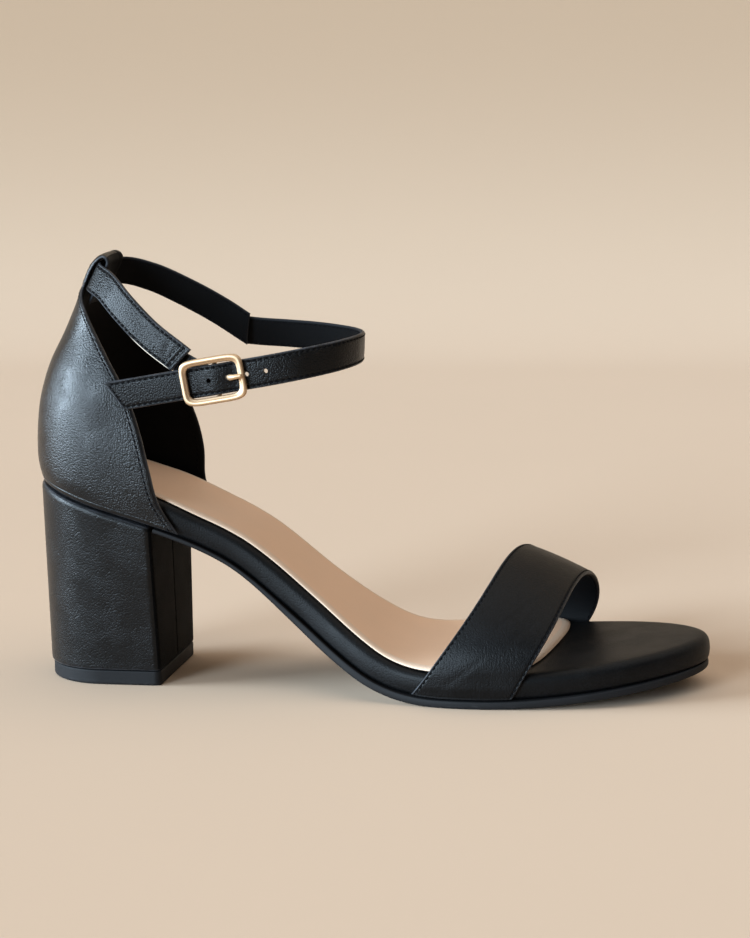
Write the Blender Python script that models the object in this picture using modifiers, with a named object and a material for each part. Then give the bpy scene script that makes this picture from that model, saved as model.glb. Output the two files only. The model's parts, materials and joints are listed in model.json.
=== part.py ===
"""Right-foot block heel sandal with a closed back, one vamp strap and a buckled ankle strap.

Sizes are millimetres until a mesh is made. In the last's own frame X runs from the heel's back
to the toe, -Y is the outer side of the foot, +Y the inner side, and Z = 0 is the floor.
"""
import math

import bmesh
import bpy
import numpy as np
from mathutils import Matrix

MM = 0.001
GAP = 0.3

# Driving dimensions of the sole
SHOE_LENGTH = 230.4
FOOTBED_THICKNESS = 8.2
OUTSOLE_THICKNESS = 2.5
OUTSOLE_SPREAD = 1.026
SOCK_THICKNESS = 1.0
SOCK_GAP = 0.4
SOCK_INSET = 2.0
SOCK_FRONT = 180.8
SOCK_SKEW = 0.18
TREAD_HEIGHT = FOOTBED_THICKNESS + GAP + OUTSOLE_THICKNESS
HEEL_SEAT = 78.0
SEAT_SLOPE = -0.307
SEAT_FRONT = 45.0
FOOTBED_REAR = 4.4
HEEL_SHOULDER = 27.0
TOE_SHOULDER = 186.0
TOE_POWER = 2.2
OUTSOLE_REAR = 48.4
OUTSOLE_FRONT = SHOE_LENGTH - 1.0
OUTSOLE_THIN = 1.4
OUTSOLE_WAIST = 80.0
OUTSOLE_FULL = 112.0
TREAD_REAR = 145.0
TREAD_FRONT = 157.0
TOE_SPRING = 7.0

# Driving dimensions of the heel
LIFT_HEIGHT = 5.0
HEEL_CORNER = 4.0

# Driving dimensions of the upper
COUNTER_WALL = 1.5
BINDING_WIDTH = 3.0
BINDING_STEP = 0.4
VAMP_WALL = 1.6
VAMP_CROWN = 0.8
VAMP_SKEW = 3.0
VAMP_TUCK = 0.9
VAMP_SHOULDER = 0.1
VAMP_LEAD = 4.5
VAMP_LEAD_POWER = 9
BACK_STRAP_WIDTH = 9.8
FRONT_STRAP_WIDTH = 10.2
STRAP_WALL = 1.6
STRAP_BACK_X = 22.2
STRAP_BACK_Z = 139.6
STRAP_BACK_LEAN = math.radians(27.0)
TAB_CLEARANCE = 0.5
TAB_NOSE = 9.0
TAB_ROUND = 16.0
TAB_SAG = 1.2
TAB_LEG = 5.0

# Driving dimensions of the buckle
BUCKLE_CENTRE = (69.3, -29.6, 105.9)
BUCKLE_PITCH = math.radians(9.5)
BUCKLE_YAW = math.radians(1.3)
FRAME_LENGTH = 19.6
FRAME_HEIGHT = 13.2
FRAME_CORNER = 3.6
FRAME_BAR = 1.15
FRAME_OUT = STRAP_WALL / 2 + GAP + FRAME_BAR
BAR_RADIUS = 0.8
BAR_IN = -2.9
PRONG_RADIUS = 0.75
STRAP_BUMP = 0.7
HOLE_RADIUS = 1.15
HOLE_FIRST = -1.6
HOLE_PITCH = 6.4
HOLE_COUNT = 4
TIP_LENGTH = 35.0
TIP_SLANT = 2.6
HOLDER_WIDTH = 7.6
HOLDER_WALL = 1.1

# Top edge of the footbed along the foot: station, height, slope
PROFILE = np.array([
    (0.0, HEEL_SEAT, SEAT_SLOPE),
    (SEAT_FRONT, HEEL_SEAT + SEAT_SLOPE * SEAT_FRONT, SEAT_SLOPE),
    (75.0, 51.8, -0.58),
    (100.0, 32.8, -0.80),
    (122.0, 16.4, -0.60),
    (TREAD_REAR, TREAD_HEIGHT, 0.0),
    (TREAD_FRONT, TREAD_HEIGHT, 0.0),
    (SHOE_LENGTH, TREAD_HEIGHT + TOE_SPRING, 0.10),
])

# Footbed outline before its ends are rounded: station, outer half width, inner half width
OUTLINE = np.array([
    (27.0, 25.8, 25.8),
    (56.0, 25.6, 25.0),
    (78.0, 25.2, 22.6),
    (100.0, 27.8, 22.2),
    (125.0, 35.5, 31.5),
    (148.0, 40.0, 41.5),
    (172.0, 39.0, 41.2),
    (200.0, 34.0, 34.4),
    (SHOE_LENGTH, 28.0, 28.0),
])

# Edge sections from the top face to the bottom face: inset from the outline, depth
FOOTBED_EDGE = ((3.4, 0.0), (1.3, 0.5), (0.3, 1.8), (0.0, 4.2), (0.9, FOOTBED_THICKNESS - 0.8),
                (2.0, FOOTBED_THICKNESS))
SOCK_EDGE = ((0.5, -SOCK_GAP - SOCK_THICKNESS), (0.0, -SOCK_GAP - 0.6), (0.0, -SOCK_GAP))

# Heel outlines: back, nose length, half width, breast
HEEL_TOP = np.array((0.6, 27.5, 27.8, 45.0))
HEEL_FOOT = np.array((1.9, 22.5, 23.2, 46.0))
# Heel wall: share of the height, inset
HEEL_LEVELS = ((0.0, 0.6), (0.012, 0.0), (0.35, 0.0), (0.7, 0.0), (0.965, 0.0), (0.99, 0.4), (1.0, 1.4))
# Top piece under the heel: height, inset
LIFT_LEVELS = ((0.0, 0.8), (0.7, 0.0), (LIFT_HEIGHT - 0.4, 0.0), (LIFT_HEIGHT, 0.4))

# Counter sections: back x, back z, nose length, half width, front edge x, front edge z, inner lead
COUNTER_ROWS = (
    (0.8, 69.6, 28.0, 28.0, 54.8, 53.4, 0.0),
    (-0.8, 77.0, 29.0, 28.8, 48.6, 64.0, 2.0),
    (-0.6, 88.0, 29.0, 28.8, 45.6, 76.0, 4.6),
    (1.0, 99.0, 28.0, 27.8, 42.6, 88.0, 5.0),
    (4.6, 110.0, 27.0, 26.2, 38.2, 100.0, 4.0),
    (9.8, 120.0, 23.0, 23.2, 30.5, 113.5, 1.4),
    (13.8, 128.5, 14.0, 19.0, 23.0, 125.5, 0.0),
)

# Vamp strap edges: outer x and inner x at the footbed's top edge, bow and rise of the crest
VAMP_REAR = np.array((139.2, 163.0, 19.0, 33.6))
VAMP_FRONT = np.array((171.9, 188.5, 10.4, 23.2))

# Back strap route, outer end to inner end: x, y, z, lean in degrees
BACK_STRAP_ROUTE = np.array([
    (56.0, -26.3, 111.6, 4.0),
    (46.0, -23.2, 118.9, 8.0),
    (35.0, -18.2, 128.6, 16.0),
    (28.0, -13.2, 135.4, 23.0),
    (22.8, -8.2, 138.6, 27.0),
    (22.4, -4.2, 139.4, 27.0),
    (STRAP_BACK_X, 0.0, STRAP_BACK_Z, 27.0),
    (22.5, 4.2, 139.6, 27.0),
    (23.1, 8.2, 139.3, 27.0),
    (28.5, 12.9, 138.4, 21.0),
    (36.0, 16.4, 136.2, 15.0),
    (47.2, 20.0, 131.1, 9.0),
    (58.6, 22.8, 124.5, 7.0),
    (68.5, 24.6, 118.0, 8.0),
])

# Front strap route, inner end to the buckle: x, y, z, lean in degrees
FRONT_STRAP_ROUTE = np.array([
    (62.0, 26.6, 118.6, 11.0),
    (72.0, 27.6, 117.4, 13.0),
    (82.0, 26.8, 116.8, 13.0),
    (92.0, 24.4, 116.2, 11.0),
    (102.0, 19.2, 115.4, 6.0),
    (109.6, 11.0, 114.8, 1.0),
    (113.4, 0.5, 114.4, -3.0),
    (113.2, -10.0, 113.9, -3.0),
    (108.6, -19.5, 112.8, -2.0),
    (100.0, -26.2, 111.2, 0.0),
    (90.0, -29.2, 109.4, 0.0),
])

# Colours: name, red, green, blue, roughness, metallic
FINISHES = {
    "black_leather": (0.018, 0.019, 0.022, 0.45, 0.0),
    "tan_leather": (0.52, 0.33, 0.22, 0.55, 0.0),
    "black_rubber": (0.022, 0.022, 0.024, 0.70, 0.0),
    "pale_gold": (0.83, 0.62, 0.42, 0.25, 1.0),
}


def hermite(knots, values, slopes, at):
    """Piecewise cubic through the knots with given slopes, read at the places in at."""
    at = np.asarray(at, float)
    i = np.clip(np.searchsorted(knots, at, side="right") - 1, 0, len(knots) - 2)
    span = knots[i + 1] - knots[i]
    t = (at - knots[i]) / span
    if values.ndim == 2:
        span = span[..., None]
        t = t[..., None]
    near = values[i] * (1 + 2 * t) * (1 - t) ** 2 + span * slopes[i] * t * (1 - t) ** 2
    far = values[i + 1] * (3 - 2 * t) * t ** 2 + span * slopes[i + 1] * (t - 1) * t ** 2
    return near + far


def through(knots, values, at):
    """Smooth curve through the knots, its slopes taken from the neighbouring rows."""
    return hermite(knots, values, np.gradient(values, knots, axis=0), at)


def top_height(x):
    return hermite(PROFILE[:, 0], PROFILE[:, 1], PROFILE[:, 2], x)


def top_slope(x):
    step = 0.01
    return (top_height(x + step) - top_height(x - step)) / (2 * step)


def sole_points(plan, depth):
    """Plan points carried to a depth below the footbed's top, square to its profile."""
    x = plan[..., 0]
    slope = top_slope(x)
    length = np.sqrt(1 + slope ** 2)
    return np.stack([x + depth * slope / length, plan[..., 1], top_height(x) - depth / length], -1)


def half_widths(x):
    """Outer and inner half widths of the footbed with the toe rounded."""
    widths = through(OUTLINE[:, 0], OUTLINE[:, 1:], np.clip(x, OUTLINE[0, 0], SHOE_LENGTH))
    t = np.clip((x - TOE_SHOULDER) / (SHOE_LENGTH - TOE_SHOULDER), 0, 1)
    return widths * np.sqrt(1 - t ** TOE_POWER)[..., None]


def two_sided(x, outer, inner):
    """Closed ring that runs up the outer side and back along the inner side."""
    return np.concatenate([np.stack([x, -outer], -1), np.stack([x, inner], -1)[::-1]])


def inset(ring, distance):
    """Closed plan ring moved inwards, square to its own direction."""
    along = np.roll(ring, -1, axis=0) - np.roll(ring, 1, axis=0)
    along /= np.linalg.norm(along, axis=1)[:, None]
    return ring + distance * np.stack([-along[:, 1], along[:, 0]], -1)


def spine(x, share=0.86):
    """Middle line under a two-sided ring, shortened so that its ends fan out."""
    middle = (x[0] + x[-1]) / 2
    short = middle + share * (x - middle)
    widths = half_widths(short)
    return two_sided(short, (widths[:, 0] - widths[:, 1]) / 2, (widths[:, 1] - widths[:, 0]) / 2)


def blend(a, b, share):
    return a + share * (b - a)


def slab_rings(ring, middle, edge, carry):
    """Rings from the top middle line over the edge sections to the bottom middle line."""
    shares = (0.0, 0.4, 0.75)
    first = inset(ring, edge[0][0])
    last = inset(ring, edge[-1][0])
    rings = [carry(blend(middle, first, share), edge[0][1]) for share in shares]
    rings += [carry(inset(ring, distance), depth) for distance, depth in edge]
    rings += [carry(blend(middle, last, share), edge[-1][1]) for share in shares[::-1]]
    return np.array(rings)


def rounded_stations(rear, front, count):
    """Stations closer together towards both ends, none of them on an end."""
    angle = np.pi * (np.arange(count) + 0.5) / count
    return rear + (front - rear) * (1 - np.cos(angle)) / 2


def material(name):
    red, green, blue, roughness, metallic = FINISHES[name]
    made = bpy.data.materials.new(name)
    made.use_nodes = True
    shader = made.node_tree.nodes["Principled BSDF"]
    shader.inputs["Base Color"].default_value = (red, green, blue, 1.0)
    shader.inputs["Roughness"].default_value = roughness
    shader.inputs["Metallic"].default_value = metallic
    made.diffuse_color = (red, green, blue, 1.0)
    return made


def add_object(name, data, finish, parts, parent):
    made = bpy.data.objects.new(name, data)
    parts.objects.link(made)
    made.parent = parent
    data.materials.append(bpy.data.materials.get(finish) or material(finish))
    return made


def smooth_shade(mesh):
    mesh.shade_smooth()
    mesh.set_sharp_from_angle(angle=math.radians(40))


def grid_faces(rows, columns, wrap):
    """Quads of a grid of points, closed across the columns when wrap is set."""
    row, column = np.meshgrid(np.arange(rows - 1), np.arange(columns if wrap else columns - 1), indexing="ij")
    after = (column + 1) % columns
    corners = (row * columns + column, row * columns + after, (row + 1) * columns + after)
    return np.stack([*corners, (row + 1) * columns + column], -1).reshape(-1, 4)


def grid_mesh(name, points, wrap):
    """Mesh of a grid of points, with points that coincide welded and its faces turned one way."""
    rows, columns = points.shape[:2]
    mesh = bpy.data.meshes.new(name)
    faces = grid_faces(rows, columns, wrap)
    mesh.from_pydata((points.reshape(-1, 3) * MM).tolist(), [], faces.tolist())
    work = bmesh.new()
    work.from_mesh(mesh)
    bmesh.ops.remove_doubles(work, verts=work.verts, dist=1e-6)
    if wrap:
        bmesh.ops.recalc_face_normals(work, faces=work.faces)
    work.to_mesh(mesh)
    work.free()
    smooth_shade(mesh)
    return mesh


def wall(made, thickness, offset):
    solid = made.modifiers.new("wall", "SOLIDIFY")
    solid.thickness = thickness * MM
    solid.offset = offset
    solid.use_even_offset = True


def sole_parts(parts, frame):
    """Footbed, tan sock on it, and the outsole from the heel's breast to the toe."""
    stations = rounded_stations(FOOTBED_REAR, SHOE_LENGTH, 40)
    back = np.clip((HEEL_SHOULDER - stations) / (HEEL_SHOULDER - FOOTBED_REAR), 0, 1)
    widths = half_widths(stations) * np.sqrt(1 - back ** 2)[:, None]
    ring = two_sided(stations, widths[:, 0], widths[:, 1])
    footbed = slab_rings(ring, spine(stations), FOOTBED_EDGE, sole_points)
    add_object("footbed", grid_mesh("footbed", footbed, True), "black_leather", parts, frame)

    stations = rounded_stations(FOOTBED_REAR + SOCK_INSET, SOCK_FRONT, 30)
    back = np.clip((HEEL_SHOULDER - stations) / (HEEL_SHOULDER - FOOTBED_REAR - SOCK_INSET), 0, 1)
    front = np.clip((stations - SOCK_FRONT + 16) / 16, 0, 1)
    ends = np.sqrt(1 - back ** 2) * (1 - front ** 3) ** 0.4
    widths = (half_widths(stations) - SOCK_INSET) * ends[:, None]
    ring = two_sided(stations, widths[:, 0], widths[:, 1])
    skewed = ring.copy()
    skewed[:, 0] += SOCK_SKEW * ring[:, 1] * np.clip((ring[:, 0] - 120) / 50, 0, 1)
    sock = slab_rings(skewed, spine(stations), SOCK_EDGE, sole_points)
    add_object("insole_sock", grid_mesh("insole_sock", sock, True), "tan_leather", parts, frame)

    share = np.arange(30) / 29.5
    stations = OUTSOLE_REAR + (OUTSOLE_FRONT - OUTSOLE_REAR) * np.sin(share * np.pi / 2)
    toe = np.clip((stations - TOE_SHOULDER) / (OUTSOLE_FRONT - TOE_SHOULDER), 0, 1)
    widths = half_widths(stations + (SHOE_LENGTH - OUTSOLE_FRONT) * toe ** 2) * OUTSOLE_SPREAD
    ring = two_sided(stations, widths[:, 0], widths[:, 1])
    middle = spine(stations)

    def carry(plan, share_down):
        rise = np.clip((plan[:, 0] - OUTSOLE_WAIST) / (OUTSOLE_FULL - OUTSOLE_WAIST), 0, 1)
        thickness = OUTSOLE_THIN + (OUTSOLE_THICKNESS - OUTSOLE_THIN) * rise * rise * (3 - 2 * rise)
        return sole_points(plan, FOOTBED_THICKNESS + GAP + share_down * thickness)

    outsole = slab_rings(ring, middle, ((0.5, 0.0), (0.0, 0.2), (0.0, 0.75), (0.6, 1.0)), carry)
    add_object("outsole", grid_mesh("outsole", outsole, True), "black_rubber", parts, frame)


def heel_ring(sizes):
    """D-shaped plan: half an ellipse at the back, straight sides, rounded corners, flat breast."""
    back, nose, width, breast = sizes
    turn = np.pi / 2 * (np.arange(11) + 0.5) / 11
    rounded = np.stack([back + nose * (1 - np.cos(turn)), width * np.sin(turn)], -1)
    side = np.stack([np.linspace(back + nose + 1.5, breast - HEEL_CORNER, 4), np.full(4, width)], -1)
    turn = np.linspace(0, np.pi / 2, 5)[1:]
    corner_x = breast - HEEL_CORNER * (1 - np.sin(turn))
    corner = np.stack([corner_x, width - HEEL_CORNER * (1 - np.cos(turn))], -1)
    front = np.stack([np.full(3, breast), np.array((0.66, 0.33, 0.08)) * (width - HEEL_CORNER)], -1)
    half = np.concatenate([rounded, side, corner, front])
    return two_sided(half[:, 0], half[:, 1], half[:, 1])


def heel_parts(parts, frame):
    """Covered heel block under the seat, and the rubber top piece under it."""
    foot_height = LIFT_HEIGHT + GAP

    def seat_height(x):
        return top_height(x) - (FOOTBED_THICKNESS + GAP) * math.sqrt(1 + SEAT_SLOPE ** 2)

    def middle_line(ring):
        half = ring[:len(ring) // 2, 0]
        middle = (half.min() + half.max()) / 2
        short = middle + 0.6 * (half - middle)
        return two_sided(short, 0 * short, 0 * short)

    def carry(plan, share):
        height = foot_height + share * (seat_height(plan[:, 0]) - foot_height)
        return np.column_stack([plan, height])

    rings = []
    for share, distance in HEEL_LEVELS:
        rings.append(carry(inset(heel_ring(blend(HEEL_FOOT, HEEL_TOP, share)), distance), share))
    rings.insert(0, carry(middle_line(heel_ring(HEEL_FOOT)), 0.0))
    rings.append(carry(middle_line(heel_ring(HEEL_TOP)), 1.0))
    add_object("heel_block", grid_mesh("heel_block", np.array(rings), True), "black_leather", parts, frame)

    outline = heel_ring(HEEL_FOOT)
    rings = [np.column_stack([middle_line(outline), np.zeros(len(outline))])]
    for height, distance in LIFT_LEVELS:
        rings.append(np.column_stack([inset(outline, distance), np.full(len(outline), height)]))
    rings.append(np.column_stack([middle_line(outline), np.full(len(outline), LIFT_HEIGHT)]))
    add_object("heel_lift", grid_mesh("heel_lift", np.array(rings), True), "black_rubber", parts, frame)


def tab_path():
    """Outer face of the back tab in the middle plane: up behind the strap, over it and down inside."""
    up = np.array((math.sin(STRAP_BACK_LEAN), math.cos(STRAP_BACK_LEAN)))
    ahead = np.array((math.cos(STRAP_BACK_LEAN), -math.sin(STRAP_BACK_LEAN)))
    centre = np.array((STRAP_BACK_X, STRAP_BACK_Z))
    radius = STRAP_WALL / 2 + TAB_CLEARANCE + COUNTER_WALL
    fold = centre + up * (BACK_STRAP_WIDTH / 2)
    turn = np.linspace(np.pi, 0, 9)[:, None]
    over = fold + radius * (np.cos(turn) * ahead + np.sin(turn) * up)
    rise = np.linspace(-7.0, 0.0, 3)[:, None]
    behind = centre - radius * ahead + rise * up
    fall = np.linspace(0.0, -BACK_STRAP_WIDTH / 2 - TAB_LEG, 4)[:, None]
    inside = centre + radius * ahead + fall * up
    return behind, over, inside


def counter_part(parts, frame):
    """Closed back: U-shaped sections up the heel, its top folded forward as the strap's tunnel."""
    behind, over, inside = tab_path()

    def tab_rows(path):
        fixed = np.tile((TAB_NOSE, TAB_ROUND), (len(path), 1))
        front = path + np.array((TAB_SAG, 0.0))
        return np.hstack([path, fixed, front, np.zeros((len(path), 1))])

    lower = np.vstack([COUNTER_ROWS, tab_rows(behind)])
    rows = through(np.arange(len(lower)), lower, np.linspace(0, len(lower) - 1, 19))
    rows = np.vstack([rows, tab_rows(over), tab_rows(inside)])
    back_x, back_z, nose, width, front_x, front_z, lead = (rows[:, [column]] for column in range(7))
    even = np.concatenate([[-1, -1], np.linspace(-1, 1, 23), [1, 1]])
    reach = front_x - back_x + lead * (even > 0)
    end = np.arccos(np.clip(1 - reach / nose, 0, 1))
    arc = end * (nose + width) / 2
    length = arc + np.maximum(reach - nose, 0)
    place = even * (1 - (BINDING_WIDTH + 0.3) / length)
    place[:, [1, -2]] = even[[1, -2]] * (1 - BINDING_WIDTH / length[:, [1, -2]])
    place[:, [0, -1]] = even[[0, -1]]
    run = np.abs(place) * length
    turn = np.minimum(run / arc, 1) * end
    ahead = nose * (1 - np.cos(turn)) + np.maximum(run - arc, 0)
    bound = np.zeros_like(place)
    bound[:, [0, 1, -2, -1]] = BINDING_STEP
    bound *= np.clip((130 - back_z) / 20, 0, 1)
    side = np.sign(place) * (width * np.sin(turn) + bound)
    height = back_z + (front_z - back_z) * ahead / reach
    surface = np.stack([back_x + ahead, side, height], -1)
    made = add_object("counter", grid_mesh("counter", surface, False), "black_leather", parts, frame)
    wall(made, COUNTER_WALL, 1.0)


def vamp_part(parts, frame):
    """Vamp strap: two upright legs beside the footbed and half an ellipse over the foot."""
    across = np.linspace(0, 1, 7)[None, :]
    outer_x, inner_x, bow, rise = (
        VAMP_REAR[column] + across * (VAMP_FRONT[column] - VAMP_REAR[column]) for column in range(4)
    )
    stand_off = GAP + VAMP_WALL / 2
    lean = bow * (1 + 3 * VAMP_SHOULDER) / rise
    drop = np.linspace(FOOTBED_THICKNESS - 0.4, 0, 4)[:-1, None]
    tuck = VAMP_TUCK * np.clip((drop - 4.2) / (FOOTBED_THICKNESS - 4.6), 0, 1)

    def leg(top_x, side, column):
        x = top_x - drop * lean
        away = half_widths(x)[..., column] + stand_off - tuck
        return np.stack([x, side * away, top_height(x) - drop], -1)

    turn = np.linspace(0, np.pi, 23)[:, None]
    share = (1 - np.cos(turn)) / 2
    outer_y = -(half_widths(outer_x)[..., 0] + stand_off)
    inner_y = half_widths(inner_x)[..., 1] + stand_off
    crown = VAMP_CROWN * 4 * across * (1 - across) * np.sin(turn)
    x = blend(outer_x, inner_x - VAMP_LEAD, share) + VAMP_LEAD * share ** VAMP_LEAD_POWER
    x += bow * (np.sin(turn) + VAMP_SHOULDER * np.sin(3 * turn))
    y = blend(outer_y, inner_y, share) + VAMP_SKEW * np.sin(turn) ** 2 - crown * np.cos(turn)
    z = blend(top_height(outer_x), top_height(inner_x), share) + (rise + crown) * np.sin(turn)
    arch = np.stack([x, y, z], -1)
    surface = np.concatenate([leg(outer_x, -1, 0), arch, leg(inner_x, 1, 1)[::-1]])
    made = add_object("vamp_strap", grid_mesh("vamp_strap", surface, False), "black_leather", parts, frame)
    wall(made, VAMP_WALL, 0.0)


def band(route, start, stop, across, count):
    """Flat band along a route: upright where its lean is zero, tipped inwards by the lean."""
    steps = np.linalg.norm(np.diff(route[:, :3], axis=0), axis=1)
    knots = np.concatenate([[0.0], np.cumsum(steps)])
    run = blend(start, knots[-1] + stop, np.linspace(0, 1, count)[:, None]) + 0 * across
    small = 0.05
    centre = through(knots, route, run)
    along = (through(knots, route, run + small) - through(knots, route, run - small))[..., :3]
    along /= np.linalg.norm(along, axis=-1, keepdims=True)
    outward = np.stack([-along[..., 1], along[..., 0], 0 * run], -1)
    outward /= np.linalg.norm(outward, axis=-1, keepdims=True)
    upward = np.cross(along, outward)
    lean = np.radians(centre[..., 3:])
    return centre[..., :3] + across[..., None] * (np.cos(lean) * upward - np.sin(lean) * outward)


def buckle_axes():
    """Directions of the buckle: along the strap, up across it, and outwards."""
    along = np.array((math.cos(BUCKLE_PITCH) * math.cos(BUCKLE_YAW),
                      -math.cos(BUCKLE_PITCH) * math.sin(BUCKLE_YAW), math.sin(BUCKLE_PITCH)))
    outward = np.array((-math.sin(BUCKLE_YAW), -math.cos(BUCKLE_YAW), 0.0))
    return along, np.cross(outward, along), outward


def strap_parts(parts, cutters, frame, buckle):
    """Back strap through the tab, and the holed front strap that passes the buckle to its tip."""
    across = np.linspace(-0.5, 0.5, 3)[None, :] * BACK_STRAP_WIDTH
    surface = band(BACK_STRAP_ROUTE, 0.0, -0.5 * across, across, 48)
    made = add_object("back_strap", grid_mesh("back_strap", surface, False), "black_leather", parts, frame)
    wall(made, STRAP_WALL, 0.0)

    along, _, outward = buckle_axes()
    line = np.array([(12.0, 0.0), (7.0, 0.0), (0.0, STRAP_BUMP), (-7.0, 0.0), (-12.0, 0.0), (-23.0, 0.0),
                     (-TIP_LENGTH, 0.0)])
    straight = np.array(BUCKLE_CENTRE) + line[:, :1] * along + line[:, 1:] * outward
    route = np.vstack([FRONT_STRAP_ROUTE, np.column_stack([straight, np.zeros(len(straight))])])
    across = np.linspace(-0.5, 0.5, 3)[None, :] * FRONT_STRAP_WIDTH
    slant = TIP_SLANT * across / (FRONT_STRAP_WIDTH / 2)
    surface = band(route, 2.6 - 0.5 * across, slant, across, 64)
    made = add_object("front_strap", grid_mesh("front_strap", surface, False), "black_leather", parts, frame)
    wall(made, STRAP_WALL, 0.0)
    for number in range(HOLE_COUNT):
        work = bmesh.new()
        bmesh.ops.create_cone(work, cap_ends=True, segments=12, radius1=HOLE_RADIUS * MM,
                              radius2=HOLE_RADIUS * MM, depth=8 * MM)
        mesh = bpy.data.meshes.new(f"hole_{number}")
        work.to_mesh(mesh)
        work.free()
        cutter = bpy.data.objects.new(f"hole_{number}", mesh)
        cutters.objects.link(cutter)
        cutter.parent = buckle
        cutter.location = ((HOLE_FIRST + HOLE_PITCH * number) * MM, 0, 0)
        cutter.hide_render = True
        cutter.display_type = "WIRE"
        cut = made.modifiers.new(f"hole_{number}", "BOOLEAN")
        cut.object = cutter


def wire(name, points, radius, cyclic, finish, parts, parent):
    """Round wire through points given in the buckle's own directions."""
    curve = bpy.data.curves.new(name, "CURVE")
    curve.dimensions = "3D"
    curve.bevel_depth = radius * MM
    curve.bevel_resolution = 2
    curve.use_fill_caps = not cyclic
    run = curve.splines.new("POLY")
    run.points.add(len(points) - 1)
    for point, place in zip(run.points, points):
        point.co = (*(np.array(place) * MM), 1.0)
    run.use_cyclic_u = cyclic
    return add_object(name, curve, finish, parts, parent)


def buckle_parts(parts, frame, buckle):
    """Gold frame, its bar under the strap, the prong through the strap, and the leather holder."""
    corner = np.linspace(0, np.pi / 2, 5)
    loop = []
    for quarter, (x, y) in enumerate(((1, 1), (-1, 1), (-1, -1), (1, -1))):
        turn = corner + quarter * np.pi / 2
        centre_x = x * (FRAME_LENGTH / 2 - FRAME_CORNER)
        centre_y = y * (FRAME_HEIGHT / 2 - FRAME_CORNER)
        loop += [(centre_x + FRAME_CORNER * math.cos(a), centre_y + FRAME_CORNER * math.sin(a), FRAME_OUT)
                 for a in turn]
    wire("buckle_frame", loop, FRAME_BAR, True, "pale_gold", parts, buckle)

    half = FRAME_HEIGHT / 2
    reach = FRAME_OUT - FRAME_BAR - GAP - BAR_RADIUS
    end = half - 0.2
    bar = [(0, -end, reach), (0, -end, BAR_IN + 1.2), (0, 1.2 - end, BAR_IN),
           (0, end - 1.2, BAR_IN), (0, end, BAR_IN + 1.2), (0, end, reach)]
    wire("buckle_bar", bar, BAR_RADIUS, False, "pale_gold", parts, buckle)

    hole = HOLE_FIRST + HOLE_PITCH
    under = BAR_IN + BAR_RADIUS + HOLDER_WALL + 2 * GAP + PRONG_RADIUS
    over = FRAME_OUT + FRAME_BAR + GAP + PRONG_RADIUS
    prong = [(hole - 0.5, 0, under), (hole, 0, 0.6), (hole + 0.5, 0, 1.9), (hole + 2.6, 0, over - 0.2),
             (FRAME_LENGTH / 2, 0, over), (FRAME_LENGTH / 2 + 1.6, 0, over)]
    wire("buckle_prong", prong, PRONG_RADIUS, False, "pale_gold", parts, buckle)

    ring = BAR_RADIUS + GAP + HOLDER_WALL / 2
    turn = np.linspace(-np.pi / 2, np.pi / 2, 9)
    fold = np.stack([ring * np.cos(turn), BAR_IN + ring * np.sin(turn)], -1)
    tail = [(-17.0, BAR_IN - 3.3), (-12.0, BAR_IN - 3.2), (-7.0, BAR_IN - ring), (-3.0, BAR_IN - ring)]
    route = np.vstack([tail, fold, [(-4.0, BAR_IN + ring)]])
    rise = 0.62 * np.maximum(-route[:, :1] - 2.0, 0)
    across = np.linspace(-0.5, 0.5, 3)[None, :] * HOLDER_WIDTH
    surface = np.stack([route[:, :1] + 0 * across, rise + across, route[:, 1:] + 0 * across], -1)
    mesh = grid_mesh("buckle_holder", surface, False)
    made = add_object("buckle_holder", mesh, "black_leather", parts, buckle)
    wall(made, HOLDER_WALL, 0.0)


def centre_on_floor(parts, frame):
    """Moves the frame so that the origin is under the middle of the whole shoe."""
    bpy.context.view_layer.update()
    graph = bpy.context.evaluated_depsgraph_get()
    corners = []
    for piece in parts.objects:
        shape = piece.evaluated_get(graph)
        corners += [shape.matrix_world @ vertex.co for vertex in shape.to_mesh().vertices]
        shape.to_mesh_clear()
    corners = np.array(corners)
    middle = (corners.min(axis=0) + corners.max(axis=0)) / 2
    frame.location = (-middle[0], -middle[1], 0.0)


def collection(name):
    made = bpy.data.collections.new(name)
    bpy.context.scene.collection.children.link(made)
    return made


def main():
    for old in list(bpy.data.objects):
        bpy.data.objects.remove(old, do_unlink=True)
    parts = collection("block_heel_sandal")
    cutters = collection("cutters")
    frame = bpy.data.objects.new("last_frame", None)
    bpy.context.scene.collection.objects.link(frame)
    buckle = bpy.data.objects.new("buckle_frame_place", None)
    bpy.context.scene.collection.objects.link(buckle)
    buckle.parent = frame
    turn = Matrix(np.column_stack(buckle_axes()).tolist()).to_4x4()
    buckle.matrix_local = Matrix.Translation(np.array(BUCKLE_CENTRE) * MM) @ turn

    sole_parts(parts, frame)
    heel_parts(parts, frame)
    counter_part(parts, frame)
    vamp_part(parts, frame)
    strap_parts(parts, cutters, frame, buckle)
    buckle_parts(parts, frame, buckle)
    centre_on_floor(parts, frame)


if __name__ == "__main__":
    main()
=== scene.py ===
"""Right-foot block heel sandal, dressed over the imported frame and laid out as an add-on.

Sizes in the tables are millimetres in the last's own frame: X runs from the heel's back to the toe,
-Y is the outer side of the foot, +Y the inner side, and Z = 0 is the floor.
"""
import functools
import json
import math
from collections import namedtuple

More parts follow.
